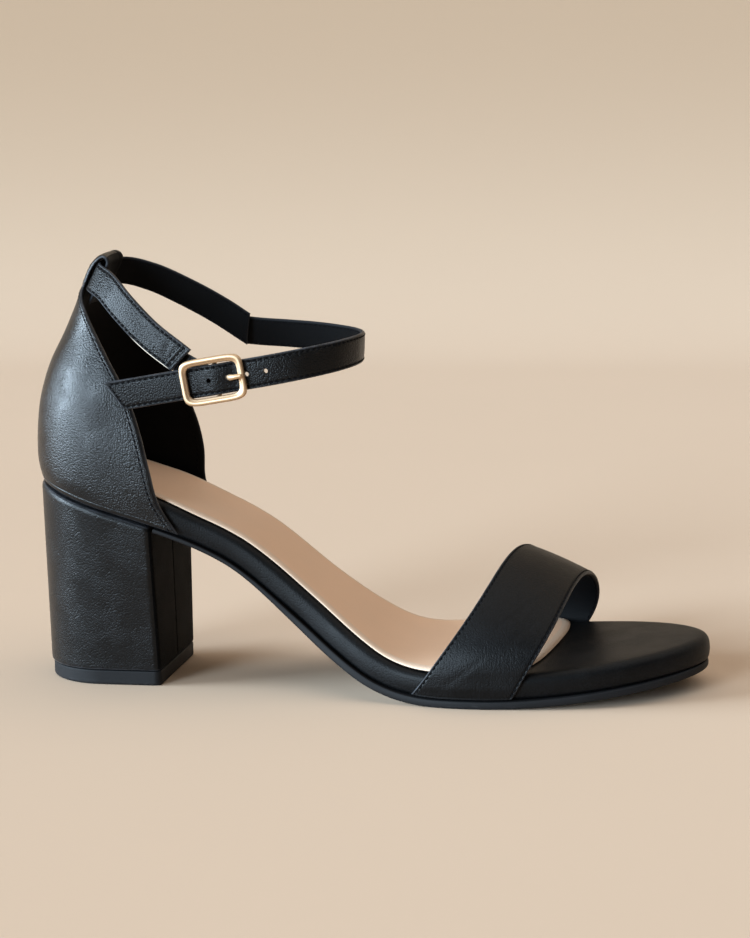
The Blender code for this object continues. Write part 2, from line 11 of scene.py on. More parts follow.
import bmesh
import bpy
import numpy as np
from bpy.props import FloatProperty, FloatVectorProperty, PointerProperty
from mathutils import Matrix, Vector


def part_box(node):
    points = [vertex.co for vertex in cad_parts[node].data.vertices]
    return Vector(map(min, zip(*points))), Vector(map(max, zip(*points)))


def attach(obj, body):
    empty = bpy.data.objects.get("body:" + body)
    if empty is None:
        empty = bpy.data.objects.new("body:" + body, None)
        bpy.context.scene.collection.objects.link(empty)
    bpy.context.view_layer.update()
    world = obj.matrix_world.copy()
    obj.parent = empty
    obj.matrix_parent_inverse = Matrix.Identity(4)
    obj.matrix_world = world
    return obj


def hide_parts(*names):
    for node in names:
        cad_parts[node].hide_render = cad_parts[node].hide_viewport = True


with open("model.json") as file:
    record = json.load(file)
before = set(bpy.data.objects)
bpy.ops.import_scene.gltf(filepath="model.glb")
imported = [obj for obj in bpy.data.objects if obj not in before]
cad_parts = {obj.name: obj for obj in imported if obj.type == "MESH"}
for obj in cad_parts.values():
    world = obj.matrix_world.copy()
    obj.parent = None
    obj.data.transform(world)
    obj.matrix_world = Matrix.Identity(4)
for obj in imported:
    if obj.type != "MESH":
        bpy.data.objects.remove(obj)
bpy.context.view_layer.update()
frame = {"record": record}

bl_info = {
    "name": "Block heel sandal",
    "version": (1, 0, 0),
    "blender": (4, 5, 0),
    "location": "3D View > Sidebar > Sandal",
    "description": "Leather, sole, buckle and stitching of a block heel sandal",
    "category": "Add Mesh",
}

SLOT_COLOURS = {entry["slot"]: entry["base_color"] for entry in frame["record"]["materials"]}

# Millimetre and weld distance in metres, and the gap between pieces in millimetres
MM = 0.001
WELD = 2e-6
GAP = 0.3

# Sole
SHOE_LENGTH = 230.4
FOOTBED_THICKNESS = 8.2
FOOTBED_REAR = 4.4
HEEL_SHOULDER = 27.0
TOE_SHOULDER = 186.0
TOE_POWER = 2.2
SEAT_SLOPE = -0.307
SEAT_DISH = 1.8
SEAT_RADIUS = 24.0
SEAT_FADE = (40.0, 64.0)
SEAT_FLARE = 0.9
FLARE_FADE = (44.0, 62.0)
SOCK_INSET = 2.0
SOCK_FRONT = 179.4
SOCK_NOSE = 12.0
SOCK_NOSE_POWER = 4
SOCK_NOSE_ROUND = 0.36
SOCK_SKEW = 0.155
SKEW_START = 120.0
SKEW_RUN = 50.0
OUTSOLE_THICKNESS = 2.5
OUTSOLE_SPREAD = 1.026
OUTSOLE_REAR = 48.4
OUTSOLE_FRONT = SHOE_LENGTH - 1.0
OUTSOLE_THIN = 1.4
OUTSOLE_WAIST = 80.0
OUTSOLE_FULL = 112.0

# Heel
LIFT_HEIGHT = 5.0
HEEL_HEIGHT = 55.0
HEEL_CORNER = 2.4
SEAM_WIDTH = 0.32
SEAM_DEPTH = 0.4
BREAST_COLUMNS = 25
# Rim distance given to faces away from any edge, so that they get none of the paler edge tint of wear and
# painted highlight
RIM_CLEAR_OF_EDGE_TINT = 5.0
# Edge rolls: height, as a share of the heel's or in millimetres for the top piece, and inset
HEEL_FOOT_ROLL = (0.014, 0.5)
HEEL_TOP_ROLL = (0.035, 1.1)
LIFT_FOOT_ROLL = (0.7, 0.8)
LIFT_TOP_ROLL = (0.4, 0.4)
# Heights at which heel and top piece are read, close together where an edge rolls over
HEEL_SHARES = np.concatenate([(0, 0.001, 0.003, 0.006, 0.01, 0.015), np.linspace(0.025, 0.955, 40),
                              (0.965, 0.973, 0.981, 0.988, 0.993, 0.997, 0.999, 1.0)])
LIFT_HEIGHTS = np.concatenate([(0, 0.05, 0.15, 0.3, 0.5, 0.75), np.linspace(1.1, 4.5, 8),
                               (4.65, 4.8, 4.92, LIFT_HEIGHT)])

# Upper
COUNTER_WALL = 1.5
COUNTER_FOOT_STEP = 7.6
BINDING_WIDTH = 3.0
BINDING_STEP = 0.4
BINDING_FALL = (BINDING_WIDTH - 0.35, BINDING_WIDTH + 0.05)
BINDING_LEAST = 0.25
BINDING_TOP = 130.0
BINDING_FADE = 20.0
VAMP_WALL = 1.6
VAMP_CROWN = 0.8
VAMP_SKEW = 3.0
VAMP_LEG = FOOTBED_THICKNESS - 0.4
VAMP_LEG_EVEN = 5.8
VAMP_TUCK = 0.9
VAMP_TUCK_START = 4.2
VAMP_SHOULDER = 0.1
VAMP_LEAD = 4.5
VAMP_LEAD_POWER = 9
VAMP_TURN_REAR = 0.7
VAMP_TURN_FRONT = 0.3
BACK_STRAP_WIDTH = 10.2
FRONT_STRAP_WIDTH = 10.2
STRAP_WALL = 1.6
STRAP_CROWN = 0.16
STRAP_END = 10.0
STRAP_BACK_X = 22.2
STRAP_BACK_Z = 139.6
STRAP_BACK_LEAN = math.radians(27.0)
OUTER_END_SLANT = 0.215
OUTER_END_LAP = 1.8
INNER_END_SLANT = 0.5
INNER_END_START = 2.6
TAB_CLEARANCE = 0.5
TAB_NOSE = 9.0
TAB_ROUND = 17.4
TAB_SAG = 1.2
TAB_LEG = 5.0
TAB_BULGE = 0.6
TAB_BULGE_LOW = -10.0
TAB_FOOT = -7.0
TAB_START = 0.5
TAB_TOP = 7.8
TAB_TILT = 0.075
TAB_TILT_RISE = (124.0, 138.0)

# Buckle
BUCKLE_CENTRE = np.array((69.3, -29.6, 105.9))
BUCKLE_PITCH = math.radians(9.5)
BUCKLE_YAW = math.radians(1.3)
FRAME_LENGTH = 19.6
FRAME_HEIGHT = 13.2
FRAME_BAR = 1.15
FRAME_OUT = STRAP_WALL / 2 + GAP + FRAME_BAR
FRAME_OUTER_POWER = 5.4
FRAME_INNER_POWER = 6.5
BAR_RADIUS = 0.8
BAR_IN = -2.9
BAR_BEND = 1.2
BAR_INSET = 0.2
PRONG_RADIUS = 0.75
STRAP_BUMP = 1.2
HOLE_FIRST = -1.6
HOLE_PITCH = 6.4
HOLE_COUNT = 4
PIN_SIDES = 28
PIN_REACH = 3.0
TIP_LENGTH = 35.0
TIP_SLANT = 2.6
HOLDER_WIDTH = 9.4
HOLDER_WALL = 1.1
HOLDER_ROLL = 0.8
HOLDER_SLOPE = 0.72
HOLDER_LEVEL = 2.0
# Frame's section, inner side to outer side and back behind: share of its width, share of its thickness
FRAME_SECTION = (
    (0.0, -0.2), (0.02, 0.15), (0.10, 0.45), (0.26, 0.62), (0.34, 0.72), (0.42, 0.90),
    (0.54, 1.0), (0.70, 0.99), (0.86, 0.84), (0.96, 0.52), (1.0, 0.1), (0.97, -0.4),
    (0.86, -0.8), (0.70, -1.0), (0.30, -1.0), (0.12, -0.8), (0.03, -0.5),
)
# Prong's swell: share of its length, share of its radius
PRONG_SWELL = ((0.0, 1.0), (0.15, 1.05), (0.35, 1.4), (0.7, 1.1), (1.0, 0.9))
# Front strap past the buckle: distance along it from its middle, distance outwards
BUCKLE_PASS = np.array([(12.0, 0.0), (7.0, 0.0), (0.0, STRAP_BUMP), (-7.0, 0.0), (-12.0, 0.0), (-23.0, 0.0),
                        (-TIP_LENGTH, 0.0)])

# Floor and sweep, in metres
FLOOR_HALF = 14.0
SWEEP_START = 1.1
SWEEP_RADIUS = 1.3
WALL_HEIGHTS = (2.4, 4.0)

# Lights: turn about Z from +X, rise and spread in degrees, colour
OVERHEAD_LIGHT = (40.0, 78.0, 90.0, (1.0, 0.93, 0.85))
WINDOW_LIGHT = (194.0, 13.0, 32.0, (0.68, 0.85, 1.0))
FRONT_LIGHT = (240.0, 13.0, 25.0, (0.68, 0.85, 1.0))
LIGHT_DISTANCE = 3.0
SURROUND = (1.0, 0.94, 0.87, 1.0)

# Camera: turn about Z from +X, rise and roll in degrees, distance, target and sensor in millimetres
CAMERA_TURN = -80.556
CAMERA_RISE = 8.349
CAMERA_ROLL = -0.796
CAMERA_DISTANCE = 664.9
CAMERA_TARGET = np.array((117.142, 1.31, 72.117))
SENSOR = 36.0
# Focal length and picture height in the photograph's pixels
FOCAL_LENGTH = 1941.1
PICTURE_HEIGHT = 938

# Top edge of the footbed along the foot: station, height, slope
PROFILE = np.array([
    (0.0, 78.0, SEAT_SLOPE),
    (45.0, 78.0 + SEAT_SLOPE * 45.0, SEAT_SLOPE),
    (75.0, 51.8, -0.58),
    (100.0, 32.8, -0.80),
    (122.0, 16.4, -0.60),
    (145.0, 11.0, 0.0),
    (157.0, 11.0, 0.0),
    (SHOE_LENGTH, 18.0, 0.10),
])

# Footbed outline before its ends are rounded: station, outer half width, inner half width
OUTLINE = np.array([
    (27.0, 25.8, 25.8),
    (56.0, 25.6, 25.0),
    (78.0, 25.2, 22.6),
    (100.0, 27.8, 22.2),
    (125.0, 35.5, 31.5),
    (148.0, 40.0, 41.5),
    (172.0, 39.0, 41.2),
    (200.0, 34.0, 34.4),
    (SHOE_LENGTH, 28.0, 28.0),
])

# Edge sections from the top face to the bottom face: inset from the outline, depth
FOOTBED_EDGE = ((4.2, 0.0), (2.4, 0.16), (1.1, 0.7), (0.3, 1.8), (0.0, 4.0), (0.3, 6.6), (0.7, 7.8),
                (1.3, FOOTBED_THICKNESS))
SOCK_EDGE = ((2.6, -1.4), (1.4, -1.28), (0.5, -1.0), (0.1, -0.76), (0.0, -0.6), (0.0, -0.36))
OUTSOLE_EDGE = ((0.3, 0.0), (0.08, 0.05), (0.0, 0.16), (0.0, 0.75), (0.18, 0.92), (0.6, 1.0))

# Heel outlines: back, nose length, half width, breast
HEEL_TOP = np.array((0.1, 27.9, 27.8, 45.0))
HEEL_FOOT = np.array((1.2, 22.9, 23.5, 46.0))
LIFT_OUTLINE = np.array((1.9, 22.5, 23.2, 46.0))

# Counter sections: back x, back z, nose length, half width, front edge x, front edge z, inner lead
COUNTER_ROWS = np.array([
    (0.8, 69.6, 28.0, 28.0, 54.8, 53.4, 0.0),
    (-0.8, 77.0, 29.0, 28.8, 48.6, 64.0, 2.0),
    (-0.6, 88.0, 29.0, 28.8, 45.6, 76.0, 4.6),
    (1.0, 99.0, 28.0, 27.8, 42.6, 88.0, 5.0),
    (4.6, 110.0, 27.0, 26.2, 38.2, 100.0, 4.0),
    (9.8, 120.0, 23.0, 23.2, 30.5, 113.5, 1.4),
    (13.8, 128.5, 14.0, 19.0, 23.0, 125.5, 0.0),
])

# Vamp strap edges: outer x and inner x at the footbed's top edge, bow and rise of the crest
VAMP_REAR = np.array((140.9, 163.0, 18.2, 33.6))
VAMP_FRONT = np.array((171.9, 188.5, 10.4, 23.2))

# Back strap route, outer end to inner end: x, y, z, lean in degrees
BACK_STRAP_ROUTE = np.array([
    (56.8, -26.5, 112.3, 4.0),
    (46.0, -23.2, 119.7, 8.0),
    (35.0, -18.2, 129.3, 16.0),
    (28.0, -13.2, 135.8, 23.0),
    (22.8, -8.2, 138.6, 27.0),
    (22.4, -4.2, 139.3, 27.0),
    (STRAP_BACK_X, 0.0, STRAP_BACK_Z, 27.0),
    (22.5, 4.2, 140.0, 27.0),
    (23.1, 8.2, 140.2, 27.0),
    (28.5, 12.9, 139.9, 21.0),
    (36.0, 16.4, 137.5, 15.0),
    (47.2, 20.0, 131.9, 9.0),
    (58.6, 22.8, 125.2, 7.0),
    (68.5, 24.6, 118.4, 8.0),
])

# Front strap route, inner end to the buckle: x, y, z, lean in degrees
FRONT_STRAP_ROUTE = np.array([
    (62.0, 26.6, 118.6, 11.0),
    (72.0, 27.6, 117.4, 13.0),
    (82.0, 26.8, 116.8, 13.0),
    (92.0, 24.4, 116.2, 11.0),
    (102.0, 19.2, 115.4, 6.0),
    (109.6, 11.0, 114.8, 1.0),
    (113.4, 0.5, 114.4, -3.0),
    (113.2, -10.0, 113.9, -3.0),
    (108.6, -19.5, 112.8, -2.0),
    (100.0, -26.2, 111.2, 0.0),
    (90.0, -29.2, 109.4, 0.0),
])

# Distances from a leather edge at which its surface is read, close together where the edge rolls over
ROLL = np.array((0.0, 0.05, 0.15, 0.3, 0.5, 0.75, 1.0, 1.3, 1.65, 2.0, 2.35, 2.7, 3.1, 3.6))
# Stitch rows as places in that list: along a folded edge, across the back strap's end, along a bound edge
EDGE_STITCH = 6
END_STITCHES = (9, 13)
BOUND_STITCH = 11
# Rolls of a bound edge and of the relief at any edge
BOUND_ROLL = 2.0
RELIEF_ROLL = 0.8
# Trough that a stitch row pulls into the leather, and how a stitch lies in it
TROUGH_WIDTH = 0.4
UPPER_TROUGH = 0.14
STRAP_TROUGH = 0.12
STITCH_ARCH = 0.22
STITCH_SINK = 0.14
STITCH_SLANT = math.radians(6)

# Soft creases in the back strap: run, half length across, width, depth, slant
BACK_CREASES = (
    (1.3, 4.7, 0.4, -0.3, -OUTER_END_SLANT),
    (2.1, 4.7, 0.4, 0.2, -OUTER_END_SLANT),
    (2.9, 4.7, 0.4, -0.3, -OUTER_END_SLANT),
    (5.6, 3.4, 1.1, -0.16, 0.25),
    (7.8, 2.6, 1.3, 0.10, 0.2),
    (36.0, 4.0, 1.6, -0.14, 0.35),
    (39.5, 3.6, 1.5, 0.10, 0.3),
    (61.0, 4.0, 1.6, -0.14, -0.3),
    (98.0, 3.0, 2.0, -0.10, 0.2),
)
# Soft creases in the front strap, in the same order
FRONT_CREASES = (
    (8.0, 3.6, 1.6, -0.12, 0.2),
    (44.0, 3.6, 2.2, -0.12, 0.3),
    (52.0, 3.6, 2.0, 0.10, -0.2),
    (71.0, 3.2, 2.2, -0.12, 0.2),
    (121.0, 3.8, 1.4, -0.16, 0.1),
    (124.0, 3.4, 1.6, 0.12, 0.1),
)
# Soft creases in the vamp strap: run from the outer foot, share across, length, width, depth, slant
VAMP_CREASES = (
    (11.0, 0.34, 4.0, 2.6, -0.09, 1.6),
    (16.0, 0.52, 5.0, 2.9, 0.07, 1.8),
    (22.0, 0.62, 5.0, 3.2, -0.09, 2.0),
    (34.0, 0.48, 6.0, 2.6, -0.08, 2.2),
    (42.0, 0.60, 6.0, 2.6, 0.07, 2.0),
    (118.0, 0.5, 6.0, 2.2, -0.10, -1.6),
)


def last_shift():
    """Step from the last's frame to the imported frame: the top piece's breast and middle line."""
    low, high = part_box("heel_lift")
    return np.array((high.x / MM - LIFT_OUTLINE[3], (low.y + high.y) / 2 / MM, 0.0))


SHIFT = last_shift()
# Grid of points or stack of like grids, its map, its distances from the rim, wrap and finish number
Sheet = namedtuple("Sheet", "points mapped rim wrap finish", defaults=(0.0, 1.0, True, 0))


def hermite(knots, values, slopes, at):
    """Piecewise cubic through the knots with given slopes, read at the places in at."""
    at = np.asarray(at, float)
    i = np.clip(np.searchsorted(knots, at, side="right") - 1, 0, len(knots) - 2)
    span = knots[i + 1] - knots[i]
    t = (at - knots[i]) / span
    if values.ndim == 2:
        span = span[..., None]
        t = t[..., None]
    near = values[i] * (1 + 2 * t) * (1 - t) ** 2 + span * slopes[i] * t * (1 - t) ** 2
    far = values[i + 1] * (3 - 2 * t) * t ** 2 + span * slopes[i + 1] * (t - 1) * t ** 2
    return near + far


def through(knots, values, at):
    """Smooth curve through the knots, its slopes taken from the neighbouring rows."""
    return hermite(knots, values, np.gradient(values, knots, axis=0), at)


def lengths(points):
    """Length run so far along the first axis of a grid or line of points."""
    steps = np.linalg.norm(np.diff(points, axis=0), axis=-1)
    return np.concatenate([np.zeros_like(steps[:1]), np.cumsum(steps, axis=0)])


def unit(vectors):
    """Vectors divided by their own lengths."""
    return vectors / np.linalg.norm(vectors, axis=-1, keepdims=True)


def blend(a, b, share):
    """Even change from a at share 0 to b at share 1."""
    return a + share * (b - a)


def ease(low, high, at):
    """Smooth step: three t squared less two t cubed, from 0 at low to 1 at high."""
    t = np.clip((at - low) / (high - low), 0, 1)
    return t * t * (3 - 2 * t)


def rolled(distance, radius):
    """Quarter circle: 0 at the edge, 1 from the roll's radius inwards."""
    return np.sqrt(1 - (1 - np.clip(distance / radius, 0, 1)) ** 2)


def top_height(x):
    """Height of the footbed's top edge: a cubic through the profile's stations and slopes."""
    return hermite(PROFILE[:, 0], PROFILE[:, 1], PROFILE[:, 2], x)


def top_slope(x):
    """Slope of the footbed's top edge, from its heights a small step to either side."""
    step = 0.01
    return (top_height(x + step) - top_height(x - step)) / (2 * step)


def sole_points(plan, depth):
    """Plan points carried to a depth below the footbed's top, square to its profile."""
    x = plan[..., 0]
    slope = top_slope(x)
    length = np.sqrt(1 + slope ** 2)
    return np.stack([x + depth * slope / length, plan[..., 1], top_height(x) - depth / length], -1)


def seat_points(plan, depth):
    """Sole points with the heel seat dished: its top rises as the square of the way to its rim."""
    x = plan[..., 0]
    way = (np.minimum(x - HEEL_SHOULDER, 0) ** 2 + plan[..., 1] ** 2) / SEAT_RADIUS ** 2
    lift = SEAT_DISH * way * (1 - ease(*SEAT_FADE, x)) * np.clip(1 - depth / FOOTBED_THICKNESS, 0, 1)
    return sole_points(plan, depth - lift)


def half_widths(x):
    """Outer and inner half widths of the footbed: the outline times a rounded toe."""
    widths = through(OUTLINE[:, 0], OUTLINE[:, 1:], np.clip(x, OUTLINE[0, 0], SHOE_LENGTH))
    t = np.clip((x - TOE_SHOULDER) / (SHOE_LENGTH - TOE_SHOULDER), 0, 1)
    return widths * np.sqrt(1 - t ** TOE_POWER)[..., None]


def two_sided(x, outer, inner):
    """Closed ring that runs up the outer side and back along the inner side."""
    up = np.stack([x, -outer], -1)
    down = np.stack([x, inner], -1)
    return np.concatenate([up, np.flip(down, axis=-2)], axis=-2)


def inset(ring, distance):
    """Closed plan rings moved inwards, square to their own direction."""
    along = unit(np.roll(ring, -1, axis=-2) - np.roll(ring, 1, axis=-2))
    return ring + np.asarray(distance)[..., None] * np.stack([-along[..., 1], along[..., 0]], -1)


def spine(x, share=0.86):
    """Middle line under a two-sided ring, shortened so that its ends fan out."""
    middle = (x[0] + x[-1]) / 2
    short = middle + share * (x - middle)
    widths = half_widths(short)
    return two_sided(short, (widths[:, 0] - widths[:, 1]) / 2, (widths[:, 1] - widths[:, 0]) / 2)


def rounded_stations(rear, front, count):
    """Stations closer together towards both ends, none of them on an end."""
    angle = np.pi * (np.arange(count) + 0.5) / count
    return rear + (front - rear) * (1 - np.cos(angle)) / 2


def fine_edge(edge, count):
    """Edge section read at even steps along a smooth curve through its points."""
    edge = np.array(edge)
    knots = lengths(edge)
    return through(knots, edge, np.linspace(0, knots[-1], count))


def slab(ring, middle, edge, carry):
    """Closed sheet of rings: from the top middle line out to the edge section and back below.

    A ring is the plan outline moved in by the section's inset and carried to the section's depth.
    The rim is the plan distance to the top edge, and 0 on the wall.
    """
    shares = np.array((0.0, 0.3, 0.55, 0.75, 0.88, 0.96))[:, None, None]
    first = inset(ring, edge[0, 0])
    last = inset(ring, edge[-1, 0])
    walls = inset(ring[None], edge[:, :1])
    plan = np.concatenate([blend(middle, first, shares), walls, blend(middle, last, shares[::-1])])
    depth = np.concatenate([np.full(len(shares), edge[0, 1]), edge[:, 1],
                            np.full(len(shares), edge[-1, 1])])[:, None]
    rim = np.zeros(plan.shape[:2])
    rim[:len(shares)] = np.linalg.norm(first - middle, axis=-1) * (1 - shares[..., 0])
    points = carry(plan, depth)
    return Sheet(points, points[..., :2], rim)


def grid_normals(grid):
    """Unit normals of a grid of points: the cross product of its steps along both axes."""
    return unit(np.cross(np.gradient(grid, axis=0), np.gradient(grid, axis=1)))


def shell(middle, rim, wall, roll, relief, flip, mapped):
    """Two sheets of a closed leather wall about a middle surface.

    Each face stands off along the normal by half the wall times a quarter-round of the distance to
    the rim, so that both meet at the rim. The relief is added to the outer face.
    """
    normal = grid_normals(middle) * (-1 if flip else 1)
    stand = (wall / 2 * rolled(rim, roll))[..., None]
    outer = middle + (stand + (relief * rolled(rim, RELIEF_ROLL))[..., None]) * normal
    inner = middle - stand * normal
    sheets = [Sheet(outer, mapped, rim, False), Sheet(inner, mapped, rim, False, 1)]
    return sheets, outer, inner, normal


def along_edge(length, step):
    """Places from 0 to a length: the roll's distances at both ends and even steps between them."""
    inner = np.linspace(ROLL[-1], length - ROLL[-1], max(2, int((length - 2 * ROLL[-1]) / step) + 1))
    return np.concatenate([ROLL[:-1], inner, length - ROLL[:-1][::-1]])


def grid_faces(rows, columns, wrap):
    """Quads of a grid of points, closed across the columns when wrap is set."""
    row, column = np.meshgrid(np.arange(rows - 1), np.arange(columns if wrap else columns - 1), indexing="ij")
    after = (column + 1) % columns
    corners = (row * columns + column, row * columns + after, (row + 1) * columns + after)
    return np.stack([*corners, (row + 1) * columns + column], -1).reshape(-1, 4)


def grid_mesh(name, sheets):
    """Mesh of sheets of points in millimetres: welded where they meet, faces turned outwards.

    The corner faces of an open sheet are split from the corner inwards, so that two sheets that meet
    along their rims share no face there.
    """
    points, faces, maps, rims, finishes, corners = [], [], [], [], [], []
    start = 0
    for grid, mapped, rim, wrap, finish in sheets:
        rows, columns = grid.shape[-3:-1]
        count = grid.size // (rows * columns * 3)
        first = start + np.arange(count)[:, None, None] * rows * columns
        quads = (first + grid_faces(rows, columns, wrap)).reshape(-1, 4)
        if not wrap:
            last = start + (rows - 1) * columns
            corners += [start, start + columns - 1, last, last + columns - 1]
        start += count * rows * columns
        points.append(grid.reshape(-1, 3))
        maps.append(np.broadcast_to(mapped, grid.shape[:-1] + (2,)).reshape(-1, 2))
        rims.append(np.broadcast_to(rim, grid.shape[:-1]).reshape(-1))
        faces.append(quads)
        finishes.append(np.full(len(quads), finish))
    points = (np.concatenate(points) + SHIFT) * MM
    faces = np.concatenate(faces)
    mesh = bpy.data.meshes.new(name)
    mesh.from_pydata(points.tolist(), [], faces.tolist())
    layer = mesh.uv_layers.new(name="surface")
    layer.data.foreach_set("uv", np.concatenate(maps)[faces.ravel()].ravel().astype(np.float32))
    attribute = mesh.attributes.new("rim", "FLOAT", "POINT")
    attribute.data.foreach_set("value", np.concatenate(rims).astype(np.float32))
    mesh.polygons.foreach_set("material_index", np.concatenate(finishes).astype(np.int32))
    work = bmesh.new()
    work.from_mesh(mesh)
    work.verts.ensure_lookup_table()
    for corner in corners:
        loop = work.verts[corner].link_loops[0]
        bmesh.utils.face_split(loop.face, loop.vert, loop.link_loop_next.link_loop_next.vert)
    bmesh.ops.remove_doubles(work, verts=work.verts, dist=WELD)
    bmesh.ops.recalc_face_normals(work, faces=work.faces)
    work.to_mesh(mesh)
    work.free()
    mesh.shade_smooth()
    return mesh


def add_piece(name, sheets, finishes, slot, *nodes, sharp=None):
    """Object of a mesh at the origin, riding on the shoe and standing for its CAD nodes."""
    mesh = grid_mesh(name, sheets)
    if sharp:
        mesh.set_sharp_from_angle(angle=math.radians(sharp))
    made = bpy.data.objects.new(name, mesh)
    bpy.context.scene.collection.objects.link(made)
    for finish in finishes:
        mesh.materials.append(finish)
    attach(made, "root")
    if nodes:
        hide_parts(*nodes)
    return made


class Wire:
    """One socket of a material's tree: arithmetic on it adds Math nodes, and node adds any other."""

    def __init__(self, tree, socket=None):
        self.tree = tree
        self.socket = socket

    def node(self, kind, settings, sockets, output=0):
        """Adds a node, sets its settings, then gives its sockets their values or links."""
        made = self.tree.nodes.new(kind)
        for name, value in settings.items():
            setattr(made, name, value)
        for name, value in sockets.items():
            if isinstance(value, Wire):
                self.tree.links.new(value.socket, made.inputs[name])
            else:
                made.inputs[name].default_value = value
        return Wire(self.tree, made.outputs[output])

    def coordinates(self, kind):
        """Object coordinates or the surface's own map."""
        return self.node("ShaderNodeTexCoord", {}, {}, kind)

    def attribute(self, name):
        """Number that the mesh carries at its points."""
        return self.node("ShaderNodeAttribute", {"attribute_name": name}, {}, "Fac")

    def axis(self, number):
        """One number of this vector."""
        return self.node("ShaderNodeSeparateXYZ", {}, {"Vector": self}, number)

    def math(self, operation, first, second=0.0):
        return self.node("ShaderNodeMath", {"operation": operation}, {0: first, 1: second})

    def __add__(self, other):
        return self.math("ADD", self, other)

    def __sub__(self, other):
        return self.math("SUBTRACT", self, other)

    def __rsub__(self, other):
        return self.math("SUBTRACT", other, self)

    def __mul__(self, other):
        return self.math("MULTIPLY", self, other)

    def __pow__(self, other):
        return self.math("POWER", self, other)

    def __abs__(self):
        return self.math("ABSOLUTE", self)

    __radd__ = __add__
    __rmul__ = __mul__

    def cosine(self):
        return self.math("COSINE", self)

    def step(self, low, high):
        """Smooth step of this value from 0 at low to 1 at high."""
        return self.node("ShaderNodeMapRange", {"interpolation_type": "SMOOTHSTEP"},
                         {"Value": self, "From Min": low, "From Max": high})

    def mix(self, a, b):
        """Colour a where this value is 0 and colour b where it is 1."""
        return self.node("ShaderNodeMix", {"data_type": "RGBA"}, {0: self, 6: a, 7: b}, 2)

    def noise(self, size, detail=2.0, rough=0.5):
        """Noise on this vector, its patches about a given size across in millimetres."""
        return self.node("ShaderNodeTexNoise", {},
                         {"Vector": self, "Scale": 1 / (size * MM), "Detail": detail, "Roughness": rough})

    def mapped(self, scale, turn=(0.0, 0.0, 0.0)):
        """This vector scaled and turned."""
        return self.node("ShaderNodeMapping", {}, {"Vector": self, "Rotation": turn, "Scale": scale})

    def bump(self, height, depth, strength=1.0, normal=None):
        """Normal that follows a height, its depth in millimetres, on top of another normal."""
        sockets = {"Height": height, "Distance": depth * MM, "Strength": strength}
        if normal:
            sockets["Normal"] = normal
        return self.node("ShaderNodeBump", {}, sockets)


def new_finish(name, sockets):
    """Material with one shader: its constants set on the sockets. Gives the material, shader and tree."""
    made = bpy.data.materials.new(name)
    made.use_nodes = True
    shader = made.node_tree.nodes["Principled BSDF"]
    for socket, value in sockets.items():
        shader.inputs[socket].default_value = value
    return made, shader, Wire(made.node_tree)


def link(shader, **wires):
    """Joins what varies over the surface to the shader's sockets, named with _ for a space."""
    for name, wire in wires.items():
        wire.tree.links.new(wire.socket, shader.inputs[name.replace("_", " ")])


def shade(colour, factor):
    """Colour made darker or lighter by a factor, as four numbers."""
    return tuple(min(1.0, value * factor) for value in colour[:3]) + (1.0,)


def made_once(make):
    """Wraps a finish, so that a name that was made before gives the same material again."""
    @functools.wraps(make)
    def finish(name, *values, **options):
        return bpy.data.materials.get(name) or make(name, *values, **options)

    return finish


